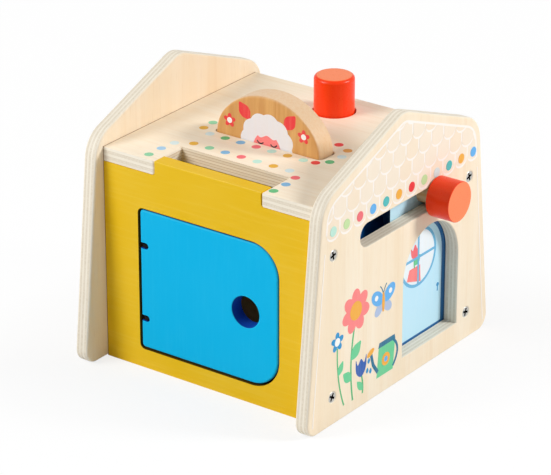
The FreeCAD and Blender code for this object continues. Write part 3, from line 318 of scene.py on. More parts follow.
def paint(name, colour, worn, grain, roughness, specular, depth=0.00008, end=None, end_axis=X,
          dark_edge=None, through=Y, opening=None):
    """Satin paint on wood: faint grain and roller texture, thinner and paler on the arrises.

    An end colour, a painted highlight, goes on the faces across end_axis. A dark edge colour goes
    on the edges of a board whose thickness lies along through, or only on those inside an opening:
    axes, each with two levels.
    """
    f = Finish(name, specular)
    fibre = f.noise(along(grain, 30.0, 520.0), 3.0, 0.55)
    roller = f.noise((1300.0, 1300.0, 1300.0), 2.0, 0.5)
    cloud = f.noise((26.0, 26.0, 26.0), 2.0, 0.5)
    tint = f.blend(f.span(cloud, 0.3, 0.7, 0.0, 0.12), colour, worn)
    tint = f.blend(f.span(fibre, 0.5, 0.8, 0.0, 0.22), tint, worn)
    # Painted highlight: the end faces take a lighter, oranger colour.
    if end:
        tint = f.blend(f.span(f.facing[end_axis], 0.9, 0.98), tint, end)
    else:
        flat = f.math("MAXIMUM", f.math("MAXIMUM", f.facing[X], f.facing[Y]), f.facing[Z])
        turned = f.span(flat, 0.99, 0.8, 0.0, 0.75)
        rubbed = f.math("MULTIPLY", turned, f.span(roller, 0.35, 0.65, 0.35, 1.0))
        tint = f.blend(rubbed, tint, worn)
    # Dark edges: painted shade on the front door and in its opening; plain dark navy on the sliding
    # door.
    if dark_edge:
        share = f.span(f.facing[through], 0.5, 0.2)
        if opening:
            for axis, low, high in opening:
                away = f.math("ABSOLUTE", f.math("SUBTRACT", f.spot[axis], (low + high) / 2))
                reach = (high - low) / 2
                inside = f.span(away, reach, reach + 0.0005, 1.0, 0.0)
                share = f.math("MULTIPLY", share, inside)
        tint = f.blend(share, tint, dark_edge)
    # Painted shade along the joints with the gables.
    if opening:
        tint = f.shaded_joints(tint)
    relief = f.math("ADD", f.math("MULTIPLY", fibre, 0.8), f.math("MULTIPLY", roller, 0.5))
    rough = f.span(roller, 0.3, 0.7, roughness - 0.04, roughness + 0.06)
    return f.finish(tint, rough, relief, depth)


def steel(name, colour, roughness):
    """Turned metal with fine scratches."""
    f = Finish(name, 0.5)
    scratch = f.noise((4000.0, 700.0, 4000.0), 2.0, 0.5)
    f.shader.inputs["Metallic"].default_value = 1.0
    dull = tuple(int(channel * 0.7) for channel in colour)
    tint = f.blend(f.span(scratch, 0.3, 0.7, 0.0, 0.3), colour, dull)
    rough = f.span(scratch, 0.3, 0.7, roughness, roughness + 0.15)
    return f.finish(tint, rough, scratch, 0.00001)


def printed_ink():
    """Screen printed ink on varnished wood: the shape's own colour, thin enough to show fibre."""
    f = Finish("printed_ink")
    ink = f.add("Attribute", {}, attribute_name="ink").outputs["Color"]
    fibre = f.noise((620.0, 620.0, 40.0), 3.0, 0.6)
    speck = f.noise((2600.0, 2600.0, 2600.0), 2.0, 0.5)
    thin = f.blend(f.span(fibre, 0.45, 0.8, 0.0, 0.10), ink, HONEY)
    thin = f.blend(f.span(speck, 0.66, 0.8, 0.0, 0.25), thin, CREAM)
    return f.finish(thin, f.span(fibre, 0.3, 0.8, 0.42, 0.56), fibre, 0.00004)


def coat(name, material):
    """Put a material on every slot of a node."""
    for slot in NODES[name].material_slots:
        slot.material = material


def dress():
    """Give every node its material, and return the bright metal."""
    # Each board has the axis through it, the axis of its grain, its layers and its warmth.
    boards = {
        "left_gable": (X, Z, 7, 0.1),
        "right_gable": (X, Z, 7, -0.15),
        "top_panel": (Z, X, 5, -0.45),
        "back_panel": (Y, X, 5, 0.0),
        "base_panel": (Z, X, 5, 0.0),
    }
    for name, (through, grain, layers, warmth) in boards.items():
        low, high = (corner[through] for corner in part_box(name))
        coat(name, plywood(name + "_ply", through, grain, low, high - low, layers, warmth,
                           between=through != X))
    low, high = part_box("front_door")
    margin = 0.003
    opening = [(axis, low[axis] - margin, high[axis] + margin) for axis in (X, Z)]
    # The walls of the door's opening get painted shade, standing in for the dark gap round the
    # door.
    coat("front_panel", paint("yellow_paint", YELLOW, YELLOW_WORN, X, 0.36, 0.16,
                              dark_edge=YELLOW_GAP_SHADE, through=Y, opening=opening))
    # The door's edges and the wall of its finger hole get painted shade.
    coat("front_door", paint("blue_paint", BLUE, BLUE_WORN, Z, 0.4, 0.08,
                             dark_edge=BLUE_EDGE_SHADE, through=Y))
    # The sliding door's edges are dark navy.
    coat("sliding_door", paint("pale_blue_paint", PALE_BLUE, PALE_BLUE_WORN, Z, 0.38, 0.3,
                               dark_edge=PALE_BLUE_DARK_EDGE, through=X))
    coat("backdrop_board", paint("deep_blue_paint", DEEP_BLUE, DEEP_BLUE_WORN, Y, 0.45, 0.2))
    # The ends of the peg and the knob carry a painted highlight.
    for name, axis in (("push_peg", Z), ("slider_knob", X)):
        coat(name, paint("orange_paint_" + name, ORANGE, ORANGE_WORN, axis, 0.3, 0.24,
                         depth=0.000004, end=ORANGE_END_HIGHLIGHT, end_axis=axis))
    coat("popup_figure", solid_wood("beech_figure", Z, BEECH_FACE, BEECH_DARK, BEECH_EDGE))
    beech_bar = solid_wood("beech_bar", X, BEECH_EDGE, BEECH_FACE)
    for name in ("knob_spindle", "peg_stop_dowel"):
        coat(name, beech_bar)
    coat("lever", solid_wood("beech_lever", Y, BEECH_EDGE, BEECH_FACE))
    pine_upright = solid_wood("pine_upright", Z, PINE, PINE_DARK)
    pine_rail = solid_wood("pine_rail", Y, PINE, PINE_DARK)
    for name in ("figure_guide_left", "figure_guide_right", "lever_hanger_left",
                 "lever_hanger_right", "door_stop"):
        coat(name, pine_upright)
    for name in ("upper_rail", "lower_rail"):
        coat(name, pine_rail)
    bright = steel("bright_steel", STEEL, 0.24)
    for name in ("lever_pivot_pin", "knob_screw"):
        coat(name, bright)
    dark = steel("dark_steel", GUNMETAL, 0.45)
    for name in ("door_hinge_pin", "hinge_eye_upper", "hinge_eye_lower"):
        coat(name, dark)
    return bright


def signed_area(outline):
    """Area of an outline, positive where it runs anticlockwise."""
    return sum(a[0] * b[1] - b[0] * a[1] for a, b in zip(outline, outline[1:] + outline[:1])) / 2


def print_mesh(name, plane, level, shapes):
    """Thin closed plates of ink. A shape is an outline in millimetres, an ink and a coat number."""
    first, second, outward, sign = PLANES[plane]
    verts, faces, inks = [], [], []
    for order, (outline, ink, coats) in enumerate(shapes):
        if signed_area(outline) < 0:
            outline = outline[::-1]
        count, start = len(outline), len(verts)
        for height in (INK_RISE * (1 + coats) + INK_STEP * order, -INK_SINK - INK_STEP * order):
            for u, v in outline:
                point = [0.0, 0.0, 0.0]
                point[first], point[second] = u * MM, v * MM
                point[outward] = level + sign * height
                verts.append(point)
        flat = [Vector((u, v, 0.0)) for u, v in outline]
        for triangle in tessellate_polygon([flat]):
            a, b, c = triangle
            if (flat[b] - flat[a]).cross(flat[c] - flat[a]).z < 0:
                a, b, c = a, c, b
            faces.append((start + a, start + b, start + c))
            faces.append((start + count + a, start + count + c, start + count + b))
        for i in range(count):
            j = (i + 1) % count
            faces.append((start + i, start + count + i, start + count + j, start + j))
        inks += [linear(INKS[ink])] * (2 * count)
    mesh = bpy.data.meshes.new(name)
    mesh.from_pydata(verts, [], faces)
    colour = mesh.attributes.new("ink", "FLOAT_COLOR", "POINT")
    colour.data.foreach_set("color", [channel for ink in inks for channel in ink])
    mesh.materials.append(INK)
    piece = bpy.data.objects.new(name, mesh)
    bpy.context.scene.collection.objects.link(piece)
    return piece


def disc(u, v, radius, sides=40):
    """Round outline."""
    turns = [math.tau * i / sides for i in range(sides)]
    return [(u + radius * math.cos(t), v + radius * math.sin(t)) for t in turns]


def oval(u, v, half_u, half_v, lean=0.0):
    """Oval outline, leaning by an angle in degrees."""
    c, s = math.cos(math.radians(lean)), math.sin(math.radians(lean))
    points = [(half_u * a, half_v * b) for a, b in disc(0, 0, 1, 36)]
    return [(u + a * c - b * s, v + a * s + b * c) for a, b in points]


def smooth(points, steps=6):
    """Closed curve through points, each span of it in a number of steps."""
    count, curve = len(points), []
    for i in range(count):
        before, here, ahead, beyond = (points[(i + k) % count] for k in (-1, 0, 1, 2))
        for k in range(steps):
            t = k / steps
            curve.append(tuple(
                0.5 * (2 * h + (a - b) * t + (2 * b - 5 * h + 4 * a - y) * t * t
                       + (3 * h - b - 3 * a + y) * t ** 3)
                for b, h, a, y in zip(before, here, ahead, beyond)))
    return curve


def stroke(points, width):
    """Band of even width along an open line, with square ends."""
    left, right = [], []
    for i, (u, v) in enumerate(points):
        u0, v0 = points[max(i - 1, 0)]
        u1, v1 = points[min(i + 1, len(points) - 1)]
        size = math.hypot(u1 - u0, v1 - v0)
        nu, nv = -(v1 - v0) / size * width / 2, (u1 - u0) / size * width / 2
        left.append((u + nu, v + nv))
        right.append((u - nu, v - nv))
    return left + right[::-1]


def bow(start, bend, end):
    """Points on a curved line from start to end, drawn towards bend."""
    steps = 12
    line = []
    for i in range(steps + 1):
        t = i / steps
        line.append(tuple((1 - t) ** 2 * a + 2 * t * (1 - t) * b + t * t * c
                          for a, b, c in zip(start, bend, end)))
    return line


def moved(points, u, v):
    """Points moved so that their origin is at u, v."""
    return [(u + a, v + b) for a, b in points]


def clipped(outline, region):
    """The part of an outline inside a convex region that is listed anticlockwise."""
    for i, (u0, v0) in enumerate(region):
        u1, v1 = region[(i + 1) % len(region)]

        def side(point):
            return (u1 - u0) * (point[1] - v0) - (v1 - v0) * (point[0] - u0)

        kept = []
        for k, point in enumerate(outline):
            previous = outline[k - 1]
            here, last = side(point), side(previous)
            if (here >= 0) != (last >= 0):
                share = last / (last - here)
                kept.append(tuple(a + (b - a) * share for a, b in zip(previous, point)))
            if here >= 0:
                kept.append(point)
        outline = kept
        if len(outline) < 3:
            return []
    return outline


def sag(u):
    """How far a tile's round foot has risen at a distance from its middle."""
    fullness = 2.1
    share = min(1.0, abs(u) / (DOT_PITCH / 2))
    return SCALLOP * (1 - math.sqrt(1 - share ** fullness))


def tile(centre, foot):
    """Outline of a roof tile: a round foot and a top cut by the two tiles above."""
    half = DOT_PITCH / 2
    reach = half - LINE / 2
    steps = [reach * math.sin(math.pi / 2 * i / 10) for i in range(-10, 11)]
    lower = [(centre + u, foot + sag(u) + LINE / 2) for u in steps]
    upper = [(centre + u, foot + ROW_HEIGHT + sag(half - abs(u)) - LINE / 2) for u in steps[::-1]]
    return lower + upper


def side_line(inset, level):
    """Distance from the middle to the gable's leaning side, less an inset, at a level."""
    return FOOT_HALF - level * math.tan(SIDE_LEAN) - inset / math.cos(SIDE_LEAN)


def arc_centre(slope):
    """Centre of the round eaves, between the leaning side and a roof of this slope."""
    side_normal = (-math.cos(SIDE_LEAN), -math.sin(SIDE_LEAN))
    slope_normal = (-math.sin(slope), -math.cos(slope))
    dot = side_normal[0] * slope_normal[0] + side_normal[1] * slope_normal[1]
    reach = EAVES_RADIUS / (1 + dot)
    return (EAVES[0] + reach * (side_normal[0] + slope_normal[0]),
            EAVES[1] + reach * (side_normal[1] + slope_normal[1]))


def inset_outline(inset, low):
    """The gable's outline above a level, moved inwards: sides, round eaves and round apex."""
    slope = math.atan2(APEX_LEVEL - EAVES[1], EAVES[0])
    steep = math.pi / 2 - slope
    # The right half from the bottom up: side line, eaves arc, slope line, apex arc.
    points = [(side_line(inset, low), low)]
    centre = arc_centre(slope)
    radius = EAVES_RADIUS - inset
    for i in range(9):
        angle = SIDE_LEAN + (steep - SIDE_LEAN) * i / 8
        points.append((centre[0] + radius * math.cos(angle), centre[1] + radius * math.sin(angle)))
    apex_centre = APEX_LEVEL - APEX_RADIUS / math.cos(slope)
    radius = APEX_RADIUS - inset
    for i in range(5):
        angle = steep + slope * i / 5
        points.append((radius * math.cos(angle), apex_centre + radius * math.sin(angle)))
    mirrored = [(-u, v) for u, v in reversed(points)]
    return points + mirrored


def gable_roof():
    """White ground, tinted tiles and a border line on the right gable."""
    low = TILE_FOOT - 2 * SCALLOP
    outer = inset_outline(BORDER_INSET, low)
    inner = inset_outline(BORDER_INSET + LINE, low)
    ground = []
    for k in range(DOT_COUNT):
        centre = FIRST_DOT + k * DOT_PITCH
        for i in range(-8, 8):
            u = DOT_PITCH / 2 * i / 8
            ground.append((centre + u, TILE_FOOT - LINE / 2 + sag(u)))
    # Above its lower edge the ground reaches past the outline, which then clips it.
    wide, top = 90.0, 180.0
    ground += [(wide, TILE_FOOT + SCALLOP), (wide, top), (-wide, top), (-wide, TILE_FOOT + SCALLOP)]
    shapes = [(clipped(ground, outer), "line", 0)]
    for row in range(TILE_ROWS):
        for k in range(-1, DOT_COUNT + 1):
            centre = FIRST_DOT + (k + 0.5 * (row % 2)) * DOT_PITCH
            outline = clipped(tile(centre, TILE_FOOT + row * ROW_HEIGHT), inner)
            if outline and abs(signed_area(outline)) > SMALLEST_TILE:
                tint = "tile_warm" if (3 * k + 5 * row) % 4 == 0 else "tile"
                shapes.append((outline, tint, 1))
    for side in (-1, 1):
        outside = [(side * side_line(BORDER_INSET, v), v) for v in BORDER_LEVELS]
        inside = [(side * side_line(BORDER_INSET + BORDER_LINE, v), v) for v in BORDER_LEVELS]
        shapes.append((outside + inside[::-1], "line", 0))
    piece = print_mesh("gable_roof_print", "gable", GABLE_FACE, shapes)
    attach(piece, "house")


def dot_tree():
    """Printed dots: a thin round plate on every point of a mesh, with named sizes."""
    tree = bpy.data.node_groups.new("printed_dots", "GeometryNodeTree")
    face = tree.interface
    face.new_socket("Spots", in_out="INPUT", socket_type="NodeSocketGeometry")
    sockets = {}
    for name, kind, value in (("Dot radius", "NodeSocketFloat", 0.003),
                              ("Ink thickness", "NodeSocketFloat", 0.0001),
                              ("Sides", "NodeSocketInt", 32),
                              ("Turn", "NodeSocketVector", (0.0, 0.0, 0.0)),
                              ("Ink", "NodeSocketMaterial", None)):
        sockets[name] = face.new_socket(name, in_out="INPUT", socket_type=kind)
        if value is not None:
            sockets[name].default_value = value
    face.new_socket("Dots", in_out="OUTPUT", socket_type="NodeSocketGeometry")
    made = {}
    for key, kind in (("in", "NodeGroupInput"), ("plate", "GeometryNodeMeshCylinder"),
                      ("instance", "GeometryNodeInstanceOnPoints"),
                      ("euler", "FunctionNodeEulerToRotation"),
                      ("realize", "GeometryNodeRealizeInstances"),
                      ("material", "GeometryNodeSetMaterial"), ("out", "NodeGroupOutput")):
        made[key] = tree.nodes.new(kind)
    made["plate"].fill_type = "NGON"
    links = (("in", "Sides", "plate", "Vertices"), ("in", "Dot radius", "plate", "Radius"),
             ("in", "Ink thickness", "plate", "Depth"), ("in", "Spots", "instance", "Points"),
             ("plate", "Mesh", "instance", "Instance"), ("in", "Turn", "euler", "Euler"),
             ("euler", "Rotation", "instance", "Rotation"),
             ("instance", "Instances", "realize", "Geometry"),
             ("realize", "Geometry", "material", "Geometry"), ("in", "Ink", "material", "Material"),
             ("material", "Geometry", "out", "Dots"))
    for source, output, target, entry in links:
        tree.links.new(made[source].outputs[output], made[target].inputs[entry])
    return tree, sockets


def grown(name, spots, tree, sockets, values, inks=None):
    """The plain mesh that a node tree makes from a list of points."""
    mesh = bpy.data.meshes.new(name + "_spots")
    mesh.from_pydata(spots, [], [])
    if inks:
        colour = mesh.attributes.new("ink", "FLOAT_COLOR", "POINT")
        colour.data.foreach_set("color", [c for ink in inks for c in linear(INKS[ink])])
    seedling = bpy.data.objects.new(name + "_seed", mesh)
    bpy.context.scene.collection.objects.link(seedling)
    modifier = seedling.modifiers.new("grow", "NODES")
    modifier.node_group = tree
    for key, value in values.items():
        modifier[sockets[key].identifier] = value
    bpy.context.view_layer.update()
    graph = bpy.context.evaluated_depsgraph_get()
    made = bpy.data.meshes.new_from_object(seedling.evaluated_get(graph))
    seedling.modifiers.clear()
    bpy.data.objects.remove(seedling)
    made.name = name
    piece = bpy.data.objects.new(name, made)
    bpy.context.scene.collection.objects.link(piece)
    return piece


def chain(points, count):
    """Even steps along a line of straight runs."""
    runs = [math.dist(a, b) for a, b in zip(points, points[1:])]
    whole, line = sum(runs), []
    for i in range(count):
        left = whole * i / (count - 1)
        k = 0
        while k < len(runs) - 1 and left > runs[k]:
            left -= runs[k]
            k += 1
        share = left / runs[k]
        line.append(tuple(a + (b - a) * share for a, b in zip(points[k], points[k + 1])))
    return line


def all_dots():
    """Dots round the posting slot and the figure, and along the foot of the roof tiles."""
    tree, sockets = dot_tree()
    slot_inks = ["sage", "haze", "frost", "amber", "sage", "mist", "rose", "mint", "amber",
                 "frost", "rose", "mist", "green"]
    figure_inks = ["sage", "amber", "frost", "green", "mist", "rose", "mint", "amber", "mint",
                   "red", "green", "frost", "ochre", "red"]
    slot_line = chain([(-47.6, -69), (-47.4, -47), (-38, -40.3), (36, -40.2), (43.5, -48.3),
                       (43.2, -69.5)], len(slot_inks))
    figure_line = [(-47.4, -7.4), (-46.8, -17.2)]
    figure_line += chain([(-38, -22.7), (30.5, -22.8)], 7)
    figure_line += [(38.5, -21.8), (44.5, -16.0), (45.8, -5.6), (43.2, 4.2), (33.8, 8.6)]
    spots = [(u * MM, v * MM, DECK_TOP) for u, v in slot_line + figure_line]
    values = {"Dot radius": DECK_DOT, "Ink thickness": 2 * INK_RISE, "Sides": 32,
              "Turn": (0.0, 0.0, 0.0), "Ink": INK}
    piece = grown("deck_dots", spots, tree, sockets, values, slot_inks + figure_inks)
    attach(piece, "house")
    row_inks = ["mint", "lime", "rose", "sky", "teal", "orange", "red", "lime", "frost", "teal",
                "orange", "sky"]
    row = [(GABLE_FACE, (FIRST_DOT + i * DOT_PITCH) * MM, DOT_LEVEL * MM)
           for i in range(DOT_COUNT)]
    # These lie over the ground and the tiles, so they stand higher than every step of that print.
    values.update({"Dot radius": GABLE_DOT, "Ink thickness": 16 * INK_RISE,
                   "Turn": (0.0, math.pi / 2, 0.0)})
    piece = grown("gable_dots", row, tree, sockets, values, row_inks)
    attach(piece, "house")


def flower(u, v, reach, petal, petals, ink, heart):
    """Petals round a middle."""
    shapes = []
    for i in range(petals):
        turn = 90 + 360 * i / petals
        pu = u + reach * math.cos(math.radians(turn))
        pv = v + reach * math.sin(math.radians(turn))
        shapes.append((oval(pu, pv, petal * 1.15, petal * 0.85, turn), ink, 0))
    shapes.append((disc(u, v, reach * 0.72), heart, 1))
    return shapes


def leaf(u, v, length, width, lean):
    """Pointed leaf from its root, leaning by an angle in degrees."""
    c, s = math.cos(math.radians(lean)), math.sin(math.radians(lean))
    half = [(0, 0), (0.25, 0.42), (0.55, 0.5), (0.82, 0.26), (1, 0)]
    other = [(a, -b) for a, b in half[-2:0:-1]]
    return [(u + length * a * c - width * b * s, v + length * a * s + width * b * c)
            for a, b in half + other]


def stem(root, bend, tip, width, coats=0):
    """Green stem, drawn towards bend."""
    return (stroke(bow(root, bend, tip), width), "green", coats)


def foliage(u, v, length, width, lean, coats=1):
    """Green leaf with soft edges."""
    return (smooth(leaf(u, v, length, width, lean)), "leaf", coats)


def watering_can(u, v):
    """Can with its handle to the right, and water that falls from its spout, from its middle."""
    shapes = [
        (moved([(-9.5, -9.5), (7.5, -9.5), (9.5, 9.5), (-7.5, 9.5)], u, v), "leaf", 0),
        (moved([(-8.0, 9.5), (9.8, 9.5), (9.0, 12.7), (-6.8, 12.7)], u, v), "pond", 1),
        (stroke(moved(bow((7.4, -7.5), (17.0, 2.5), (7.0, 10.5)), u, v), 1.8), "pond", 0),
        (stroke(moved([(-8.4, -5.5), (-13.2, 1.0), (-15.4, 8.5)], u, v), 2.4), "pond", 2),
        (oval(u - 16.0, v + 10.1, 3.9, 1.8, 24), "orange", 3),
        (disc(u, v, 4.2), "orange", 1),
        (disc(u, v, 1.8), "sky", 2),
    ]
    for du, dv in ((-18.1, 3.9), (-19.6, -1.9), (-16.2, -3.3)):
        shapes.append((smooth(leaf(u + du, v + dv, 3.6, 2.4, 80), 4), "azure", 1))
    return shapes


def butterfly(u, v):
    """Butterfly with spread wings, from the middle of its body."""
    shapes = []
    for side in (-1, 1):
        feeler = bow((u, v + 5), (u + side, v + 9), (u + side * 3.4, v + 11))
        shapes.append((oval(u + side * 4.6, v - 3.8, 4.6, 3.2, -side * 38), "lilac", 0))
        shapes.append((oval(u + side * 6.2, v + 4.2, 6.6, 4.4, side * 34), "sky", 1))
        shapes.append((disc(u + side * 7.2, v + 4.8, 1.7), "white", 2))
        shapes.append((stroke(feeler, 0.6), "pond", 1))
    shapes.append((oval(u, v, 1.4, 6.4), "orange", 3))
    return shapes


def garden():
    """Three flowers, a watering can and a butterfly on the front part of the right gable."""
    shapes = [
        stem((-50, 8), (-55, 34), (-48, 58), 1.5),
        foliage(-51.8, 22, 10.5, 6.5, 140),
        foliage(-51.8, 35, 13, 8, 42),
    ]
    shapes += flower(-47.5, 65, 8.2, 5.0, 7, "coral", "orange")
    tulip = [(-5.5, 12.4), (-3.5, 8.4), (-0.2, 11.6), (3, 8.4), (5.2, 12.8), (4.6, 4.4), (0, 0),
             (-5, 3.9)]
    shapes += [
        stem((-40, 8.5), (-39, 15), (-41.5, 21.5), 1.4),
        foliage(-40, 11, 9, 4.5, 128),
        (smooth(moved(tulip, -41.5, 20), 5), "navy", 1),
        stem((-59, 8.5), (-66.5, 26), (-66, 48), 1.2),
        foliage(-64.9, 30, 9, 5, 58),
    ]
    shapes += flower(-66, 52, 3.6, 2.3, 5, "azure", "white")
    shapes += watering_can(-16, 21.5)
    shapes += butterfly(-19.5, 60)
    piece = print_mesh("garden_print", "gable", GABLE_FACE, shapes)
    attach(piece, "house")


def sheep():
    """White sheep on the figure, with small flowers beside it. The head's middle is at level."""
    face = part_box("popup_figure")[0].y
    level = 137.0
    shapes = []
    for side in (-1, 1):
        ear = leaf(side * 13, level + 13.5, 12, 8, 90 - side * 38)
        shapes.append((smooth(ear), "red", 0))
    wool = []
    bumps = 11
    for i in range(bumps * 8):
        turn = math.tau * i / (bumps * 8)
        size = 1 + 0.075 * abs(math.sin(bumps * turn / 2))
        wool.append((18.0 * size * math.cos(turn), level + 1.0 + 17.6 * size * math.sin(turn)))
    shapes.append((wool, "wool", 1))
    shapes.append((oval(0.0, level - 5.0, 10.5, 13.0), "coral", 2))
    fringe = [(-9, 8), (-4, 11), (0, 8.8), (5, 11.2), (9, 7.6), (5, 4.4), (0, 6.0), (-5, 4.0)]
    shapes.append((smooth(moved(fringe, 0.0, level)), "wool", 3))
    for side in (-1, 1):
        lid = bow((side * 7.2, 1.6), (side * 5.0, -1.4), (side * 2.6, 1.2))
        shapes.append((stroke(moved(lid, 0.0, level), 0.8), "ink", 3))
    nose = [(-2, -8), (2, -8), (0, -10.4)]
    shapes.append((smooth(moved(nose, 0.0, level)), "red", 3))
    for u, v, reach, petal in ((-27.5, 9.5, 2.5, 1.7), (26.5, 11.5, 2.5, 1.7),
                               (-23.0, -8, 2.2, 1.5), (29.5, -4, 2.2, 1.5)):
        shapes += flower(u, level + v, reach, petal, 5, "red", "white")
    piece = print_mesh("figure_print", "front", face, shapes)
    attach(piece, "popup_figure")


def cottage_door():
    """Outline, round window with four panes and a keyhole on the sliding door. The outline is
    printed dark and wide, so that it also paints the shade of the doorway's jamb on the door.
    """
    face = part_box("sliding_door")[1].x
    middle, spring = 31.0, 64

    def arch(half, low):
        """Open outline of the doorway: up one side, round and down the other."""
        turns = [math.pi * i / 24 for i in range(25)]
        crown = [(middle + half * math.cos(t), spring + half * math.sin(t)) for t in turns]
        return [(middle + half, low)] + crown + [(middle - half, low)]

    shapes = []
    # Partly print, partly painted shade: a wide dark band that covers the strip the doorway's jamb
    # shades.
    outer, inner = arch(30.0, 12.8), arch(26.0, 16.2)
    for i in range(len(outer)):
        # The last one lies along the threshold, from the end back to the start.
        j = (i + 1) % len(outer)
        corners = [outer[i], outer[j], inner[j], inner[i]]
        shapes.append((corners, "door_line_shade", 0))
    u, v = 31.3, 67.4
    pot = [(-12, -12.3), (3, -16.9), (2, -5.5), (-9.4, -5.5)]
    bloom = [(-8, 9), (-6.2, 6), (-3.6, 9.4), (-1, 6), (1, 9.4), (0, 2.6), (-3.6, 0), (-7.4, 2.6)]
    keyhole = (53.2, 41.2)
    shapes += [
        (disc(u, v, 19.2, 56), "outline", 0),
        (disc(u, v, 17.2, 56), "pane", 1),
        (moved(pot, u, v), "coral", 2),
        stem((u - 4, v - 6), (u - 5, v), (u - 3.5, v + 4), 1.2, 2),
        foliage(u - 4, v - 4, 8, 5, 40, 2),
        (smooth(moved(bloom, u, v), 5), "rose", 3),
        (stroke([(u, v - 18), (u, v + 18)], 1.7), "outline", 4),
        (stroke([(u - 18, v), (u + 18, v)], 1.7), "outline", 5),
        (disc(*keyhole, 1.3, 20), "azure", 1),
        (stroke(moved([(0, -0.2), (-0.2, -4.2)], *keyhole), 0.9), "azure", 1),
    ]
    piece = print_mesh("cottage_door_print", "gable", face, shapes)
    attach(piece, "sliding_door")


def cross(arm, half, level):
    """The outline of a cross recess."""
    corners = [(arm, -half), (arm, half), (half, half), (half, arm), (-half, arm), (-half, half),
               (-arm, half), (-arm, -half), (-half, -half), (-half, -arm), (half, -arm),
               (half, -half)]
    return [Vector((a, b, level)) for a, b in corners]


def screw_mesh():
    """Countersunk wood screw with a cross recess, its head at the origin and its point down."""
    sides = SCREW_SIDES
    verts, faces, in_recess = [], [], []

    def add_face(indices, recess=False):
        faces.append(tuple(indices))
        in_recess.append(recess)

    rings = [(HEAD_RADIUS * 0.93, 0.0), (HEAD_RADIUS, -0.0002), (SHANK_RADIUS, -HEAD_HEIGHT),
             (SHANK_RADIUS, -SHANK_END), (0.0006, -SCREW_LENGTH)]
    for radius, level in rings:
        for i in range(sides):
            turn = math.tau * i / sides
            verts.append(Vector((radius * math.cos(turn), radius * math.sin(turn), level)))
    for k in range(len(rings) - 1):
        for i in range(sides):
            j = (i + 1) % sides
            add_face((k * sides + i, (k + 1) * sides + i, (k + 1) * sides + j, k * sides + j))
    point = len(verts)
    verts.append(Vector((0, 0, -SCREW_LENGTH - 0.0001)))
    last = (len(rings) - 1) * sides
    for i in range(sides):
        add_face((last + (i + 1) % sides, last + i, point))
    # The head's top lies between its rim and the mouth of the recess.
    mouth, floor = cross(0.0026, 0.00072, 0.0), cross(0.0014, 0.0004, -RECESS_DEPTH)
    start, corners = len(verts), len(mouth)
    verts += mouth + floor
    rim = verts[:sides]
    for triangle in tessellate_polygon([rim, mouth]):
        a, b, c = (n if n < sides else start + n - sides for n in triangle)
        normal = (verts[b] - verts[a]).cross(verts[c] - verts[a])
        add_face((a, b, c) if normal.z > 0 else (c, b, a))
    for i in range(corners):
        j = (i + 1) % corners
        add_face((start + i, start + j, start + corners + j, start + corners + i), recess=True)
    for a, b, c in tessellate_polygon([floor]):
        normal = (floor[b] - floor[a]).cross(floor[c] - floor[a])
        order = (a, b, c) if normal.z > 0 else (a, c, b)
        add_face((start + corners + n for n in order), recess=True)
    mesh = bpy.data.meshes.new("screw")
    mesh.from_pydata(verts, [], faces)
    recess = mesh.attributes.new("recess", "BOOLEAN", "FACE")
    recess.data.foreach_set("value", in_recess)
    return mesh


def screw_tree():
    """Screws: one screw on every point of a mesh, each turned by its own angle."""
    tree = bpy.data.node_groups.new("wood_screws", "GeometryNodeTree")
    face = tree.interface
    face.new_socket("Spots", in_out="INPUT", socket_type="NodeSocketGeometry")
    sockets = {}
    for name, kind in (("Screw", "Object"), ("Lean", "Vector"), ("Metal", "Material"),
                       ("Recess", "Material"), ("Seed", "Int")):
        sockets[name] = face.new_socket(name, in_out="INPUT", socket_type="NodeSocket" + kind)
    face.new_socket("Screws", in_out="OUTPUT", socket_type="NodeSocketGeometry")
    made = {}
    for key, kind in (("in", "NodeGroupInput"), ("object", "GeometryNodeObjectInfo"),
                      ("random", "FunctionNodeRandomValue"), ("own", "FunctionNodeEulerToRotation"),
                      ("combine", "ShaderNodeCombineXYZ"), ("lean", "FunctionNodeEulerToRotation"),
                      ("rotate", "FunctionNodeRotateRotation"),
                      ("instance", "GeometryNodeInstanceOnPoints"),
                      ("realize", "GeometryNodeRealizeInstances"),
                      ("metal", "GeometryNodeSetMaterial"),
                      ("where", "GeometryNodeInputNamedAttribute"),
                      ("recess", "GeometryNodeSetMaterial"), ("out", "NodeGroupOutput")):
        made[key] = tree.nodes.new(kind)
    made["where"].data_type = "BOOLEAN"
    made["where"].inputs["Name"].default_value = "recess"
    made["random"].data_type = "FLOAT"
    # A quarter turn looks the same again, so the random one ends a little short of it.
    made["random"].inputs[2].default_value = 0.0
    made["random"].inputs[3].default_value = 1.5
    made["rotate"].rotation_space = "LOCAL"
    links = (("in", "Screw", "object", "Object"), ("in", "Spots", "instance", "Points"),
             ("in", "Lean", "lean", "Euler"), ("combine", "Vector", "own", "Euler"),
             ("lean", "Rotation", "rotate", "Rotation"), ("own", "Rotation", "rotate", "Rotate By"),
             ("rotate", "Rotation", "instance", "Rotation"),
             ("object", "Geometry", "instance", "Instance"),
             ("instance", "Instances", "realize", "Geometry"),
             ("realize", "Geometry", "metal", "Geometry"), ("in", "Metal", "metal", "Material"),
             ("metal", "Geometry", "recess", "Geometry"), ("in", "Recess", "recess", "Material"),
             ("where", "Attribute", "recess", "Selection"),
             ("recess", "Geometry", "out", "Screws"))
    for source, output, target, entry in links:
        tree.links.new(made[source].outputs[output], made[target].inputs[entry])
    tree.links.new(made["in"].outputs["Seed"], made["random"].inputs["Seed"])
    tree.links.new(made["random"].outputs[1], made["combine"].inputs["Z"])
    return tree, sockets


